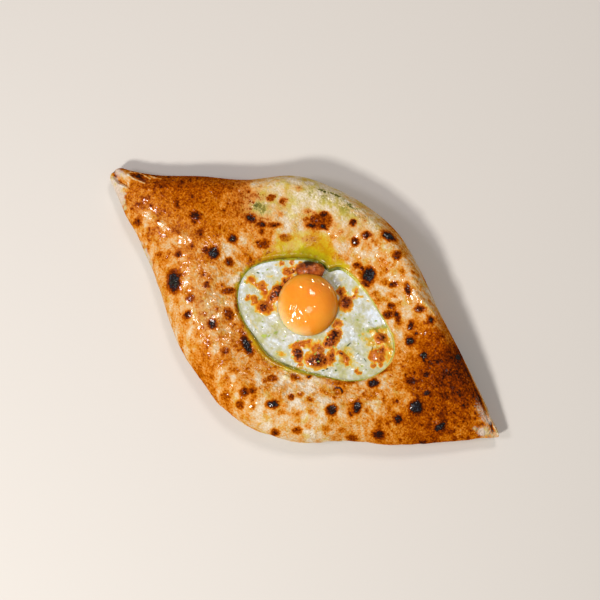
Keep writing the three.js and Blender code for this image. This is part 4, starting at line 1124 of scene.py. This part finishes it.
def butter_material():
    """Herb butter: olive-yellow, darker and greener in places, with painted shadow beside the curd, glossy.
    """
    material, tree, shader = new_material("herb_butter")
    stops = [(0.0, (44, 50, 4)), (0.3, (104, 110, 10)), (0.6, (164, 164, 26)), (1.0, (202, 194, 96))]
    shade = ramp(tree, sway(tree, 1.2, grain(tree, 2, 3), read(tree, "tone")), stops)
    feed(tree, shader, {"Base Color": shade, "Roughness": 0.2, "Coat Weight": 0.5})
    return material


show("butter_bead", make_butter_bead(), butter_material(), None)

# ---------------------------------------------------------------- the herbs
# Chopped dill and parsley in the cheese: thin torn flakes that lie on it. The larger ones are laid
# one by one, and the crumbs are strewn round them.

# Larger leaves: place, length, width, turn, and how bright they are.
HERB_LEAVES = [
    (-31.9, 3.2, 1.6, 0.8, 20, 0.1), (-28.4, 8.1, 1.5, 0.8, 60, 0.65), (-29.5, 4.7, 0.9, 0.6, 0, 0.65),
    (-29.2, 1.8, 0.8, 0.5, 0, 0.65), (-35.1, -6.1, 1.4, 0.7, 80, 0.75), (-12.2, -20.4, 1.0, 0.6, 30, 0.5),
    (-10.5, -23.1, 1.0, 0.6, 0, 0.5), (-6.1, -27.0, 3.2, 1.9, 35, 0.9), (-3.9, -25.3, 1.8, 0.7, 70, 0.7),
    (-1.6, -21.2, 3.0, 0.8, 70, 0.6), (44.8, 19.6, 1.6, 0.8, 40, 0.55), (35.1, 13.8, 1.2, 0.8, 35, 0.65),
    (28, 9.8, 1.0, 0.7, 0, 0.55), (41.8, 16.3, 1.0, 0.7, 0, 0.5), (41.2, 11.1, 1.2, 0.6, 90, 0.75),
    (44.5, 11.3, 1.4, 0.7, 40, 0.75), (41.4, 6.5, 1.6, 0.9, 35, 0.75), (45.5, 5.5, 1.0, 0.6, 0, 0.75),
    (39.3, -1.8, 3.0, 0.7, 75, 0.1), (52.8, -4.1, 2.4, 0.4, -20, 0.0), (53.3, -8.5, 1.6, 0.8, 30, 0.75),
    (56.8, -8.7, 1.2, 0.6, 0, 0.65), (41.8, -19.7, 1.3, 0.9, 0, 0.1), (36.9, -22, 1.5, 0.8, 60, 0.0),
    (40.6, -16, 1.2, 0.7, 30, 0.55), (52.5, 3.9, 2.4, 0.4, 110, 0.0), (12.1, -15, 1.2, 0.4, 50, 0.75),
    (30.2, -19, 3.0, 0.35, -15, 0.0), (27, -22.5, 2.6, 0.3, 60, 0.0), (35.5, -24, 1.6, 0.6, 40, 0.1),
    (-7.3, 30.6, 1.8, 0.6, 35, 0.1), (47, -3.5, 1.8, 0.35, 70, 0.1),
]
STRAY_HERBS = 34
LEAF_CORNERS = 6
LEAF_SPREAD = 1.35  # how much wider a leaf lies than its listed size
LEAF_ABOVE, LEAF_BELOW = 0.08, 0.12


def make_herbs():
    """Flakes with six uneven corners and a middle, each laid on the cheese in its own direction and
    given a thickness, all joined in one mesh."""
    draw = np.random.default_rng(23)
    angle, share = draw.uniform(0, 2 * np.pi, STRAY_HERBS), np.sqrt(draw.uniform(0, 0.92, STRAY_HERBS))
    reach = (eye_radius(angle) - 2) * share
    size = draw.uniform(0.7, 1.5, STRAY_HERBS)
    strewn = [*out_from_eye(reach, angle), size, 0.6 * size]
    strewn += [draw.uniform(0, 180, STRAY_HERBS), draw.uniform(0.5, 1.0, STRAY_HERBS)]
    leaves = np.vstack([np.array(HERB_LEAVES, float), np.stack(strewn, -1)])
    on_cheese = np.hypot(leaves[:, 0] - YOLK_X, leaves[:, 1] - YOLK_Y) > YOLK_RADIUS + 1
    off_x, off_y = leaves[:, 0] - EYE_X, leaves[:, 1] - EYE_Y
    inside = np.hypot(off_x, off_y) < eye_radius(np.arctan2(off_y, off_x)) - 1
    leaves = leaves[on_cheese & inside]
    at_x, at_y, length, width, turn, bright = (column[:, None] for column in leaves.T)
    length, width = LEAF_SPREAD * length, LEAF_SPREAD * width
    count, corners = len(leaves), LEAF_CORNERS
    turn = np.radians(turn)
    around = all_round(corners) + draw.uniform(-0.3, 0.3, (count, corners))
    ragged = draw.uniform(0.65, 1.15, (count, corners)) / 2
    along, across = length * ragged * np.cos(around), width * ragged * np.sin(around)
    x = np.hstack([at_x + along * np.cos(turn) - across * np.sin(turn), at_x])
    y = np.hstack([at_y + along * np.sin(turn) + across * np.cos(turn), at_y])
    z = filling_top(x, y) + draw.uniform(0.02, 0.12, x.shape)
    upper, lower = np.stack([x, y, z + LEAF_ABOVE], -1), np.stack([x, y, z - LEAF_BELOW], -1)
    points = np.concatenate([upper, lower], axis=1)
    i, j = np.arange(corners), (np.arange(corners) + 1) % corners
    shift = corners + 1
    cap = np.stack([i, j, np.full(corners, corners)], -1)
    base = np.stack([j + shift, i + shift, np.full(corners, corners + shift)], -1)
    side_a, side_b = np.stack([i + shift, j + shift, j], -1), np.stack([i + shift, j, i], -1)
    one = np.concatenate([cap, base, side_a, side_b])
    faces = (one[None] + (2 * shift * np.arange(count))[:, None, None]).reshape(-1, 3)
    mesh = bpy.data.meshes.new("herb_flakes")
    mesh.from_pydata((points.reshape(-1, 3) * MM).tolist(), [], faces.tolist())
    set_field(mesh, "brightness", np.repeat(bright.ravel(), 2 * shift))
    return mesh


def herb_material():
    """Wilted herb: from nearly black through olive to leaf green."""
    material, tree, shader = new_material("wilted_herb")
    mottled = sway(tree, 0.5, grain(tree, 0.8, 1), read(tree, "brightness"))
    stops = [(0.0, (34, 42, 8)), (0.15, (74, 98, 16)), (0.4, (124, 148, 44)), (1.0, (172, 188, 74))]
    shade = ramp(tree, mottled, stops)
    feed(tree, shader, {"Base Color": shade, "Roughness": 0.4})
    return material


show("herb_flakes", make_herbs(), herb_material(), None)

# ---------------------------------------------------------------- floor, light and camera
# A plain pale floor, soft lights from the near side, and a dim glow and sky that fill the shade.

FLOOR_HALF = 3.0
floor_corners = [(a * FLOOR_HALF, b * FLOOR_HALF, 0) for a, b in ((-1, -1), (1, -1), (1, 1), (-1, 1))]
floor_mesh = bpy.data.meshes.new("floor")
floor_mesh.from_pydata(floor_corners, [], [(0, 1, 2, 3)])
floor = put("floor", floor_mesh)
floor_material, floor_tree, floor_shader = new_material("pale_floor")
feed(floor_tree, floor_shader, {"Base Color": colour(208, 204, 198), "Roughness": 0.8})
floor_mesh.materials.append(floor_material)


def towards(azimuth, elevation):
    """The direction from the bread at this azimuth and elevation, azimuth 0 being the -Y side."""
    a, e = np.radians(azimuth), np.radians(elevation)
    return Vector((np.sin(a) * np.cos(e), -np.cos(a) * np.cos(e), np.sin(e)))


def soft_light(name, azimuth, elevation, distance, size, watts, tint):
    """A square light that faces the bread."""
    light = bpy.data.lights.new(name, "AREA")
    light.size, light.energy, light.color = size, watts, tint
    lamp = put(name, light)
    direction = towards(azimuth, elevation)
    lamp.location = direction * distance
    lamp.rotation_euler = direction.to_track_quat("Z", "Y").to_euler()


soft_light("window", -9, 47, 1.4, 0.17, 15.0, (1.0, 0.965, 0.91))
soft_light("side_window", -48, 50, 1.4, 0.25, 4.6, (0.96, 0.92, 1.0))
soft_light("far_side_glow", 195, 58, 1.4, 0.3, 5.2, (1.0, 0.92, 0.88))
soft_light("overhead", 60, 78, 1.6, 0.3, 1.6, (1.0, 1.0, 1.0))

world = bpy.data.worlds.new("dim_sky")
world.use_nodes = True
world.node_tree.nodes["Background"].inputs["Color"].default_value = (1.0, 0.97, 0.93, 1)
world.node_tree.nodes["Background"].inputs["Strength"].default_value = 0.22
bpy.context.scene.world = world
bpy.context.scene.view_settings.view_transform = "Standard"

CAMERA_AZIMUTH, CAMERA_ELEVATION, CAMERA_DISTANCE = 34.6, 80, 0.88
AIM = Vector((2.25, 4.7, 10)) * MM
AIM_RIGHT, AIM_DOWN = 5 / 600, 4.5 / 600  # how far off the picture's middle the aim shows
camera_data = bpy.data.cameras.new("camera")
camera_data.lens, camera_data.sensor_width = 85, 36
camera = put("camera", camera_data)
back = towards(CAMERA_AZIMUTH, CAMERA_ELEVATION)
camera.rotation_mode = "QUATERNION"
camera.rotation_quaternion = (-back).to_track_quat("-Z", "Y")
picture_width = CAMERA_DISTANCE * camera_data.sensor_width / camera_data.lens
right = camera.rotation_quaternion @ Vector((1, 0, 0))
up = camera.rotation_quaternion @ Vector((0, 1, 0))
camera.location = AIM + back * CAMERA_DISTANCE + (up * AIM_DOWN - right * AIM_RIGHT) * picture_width
bpy.context.scene.camera = camera
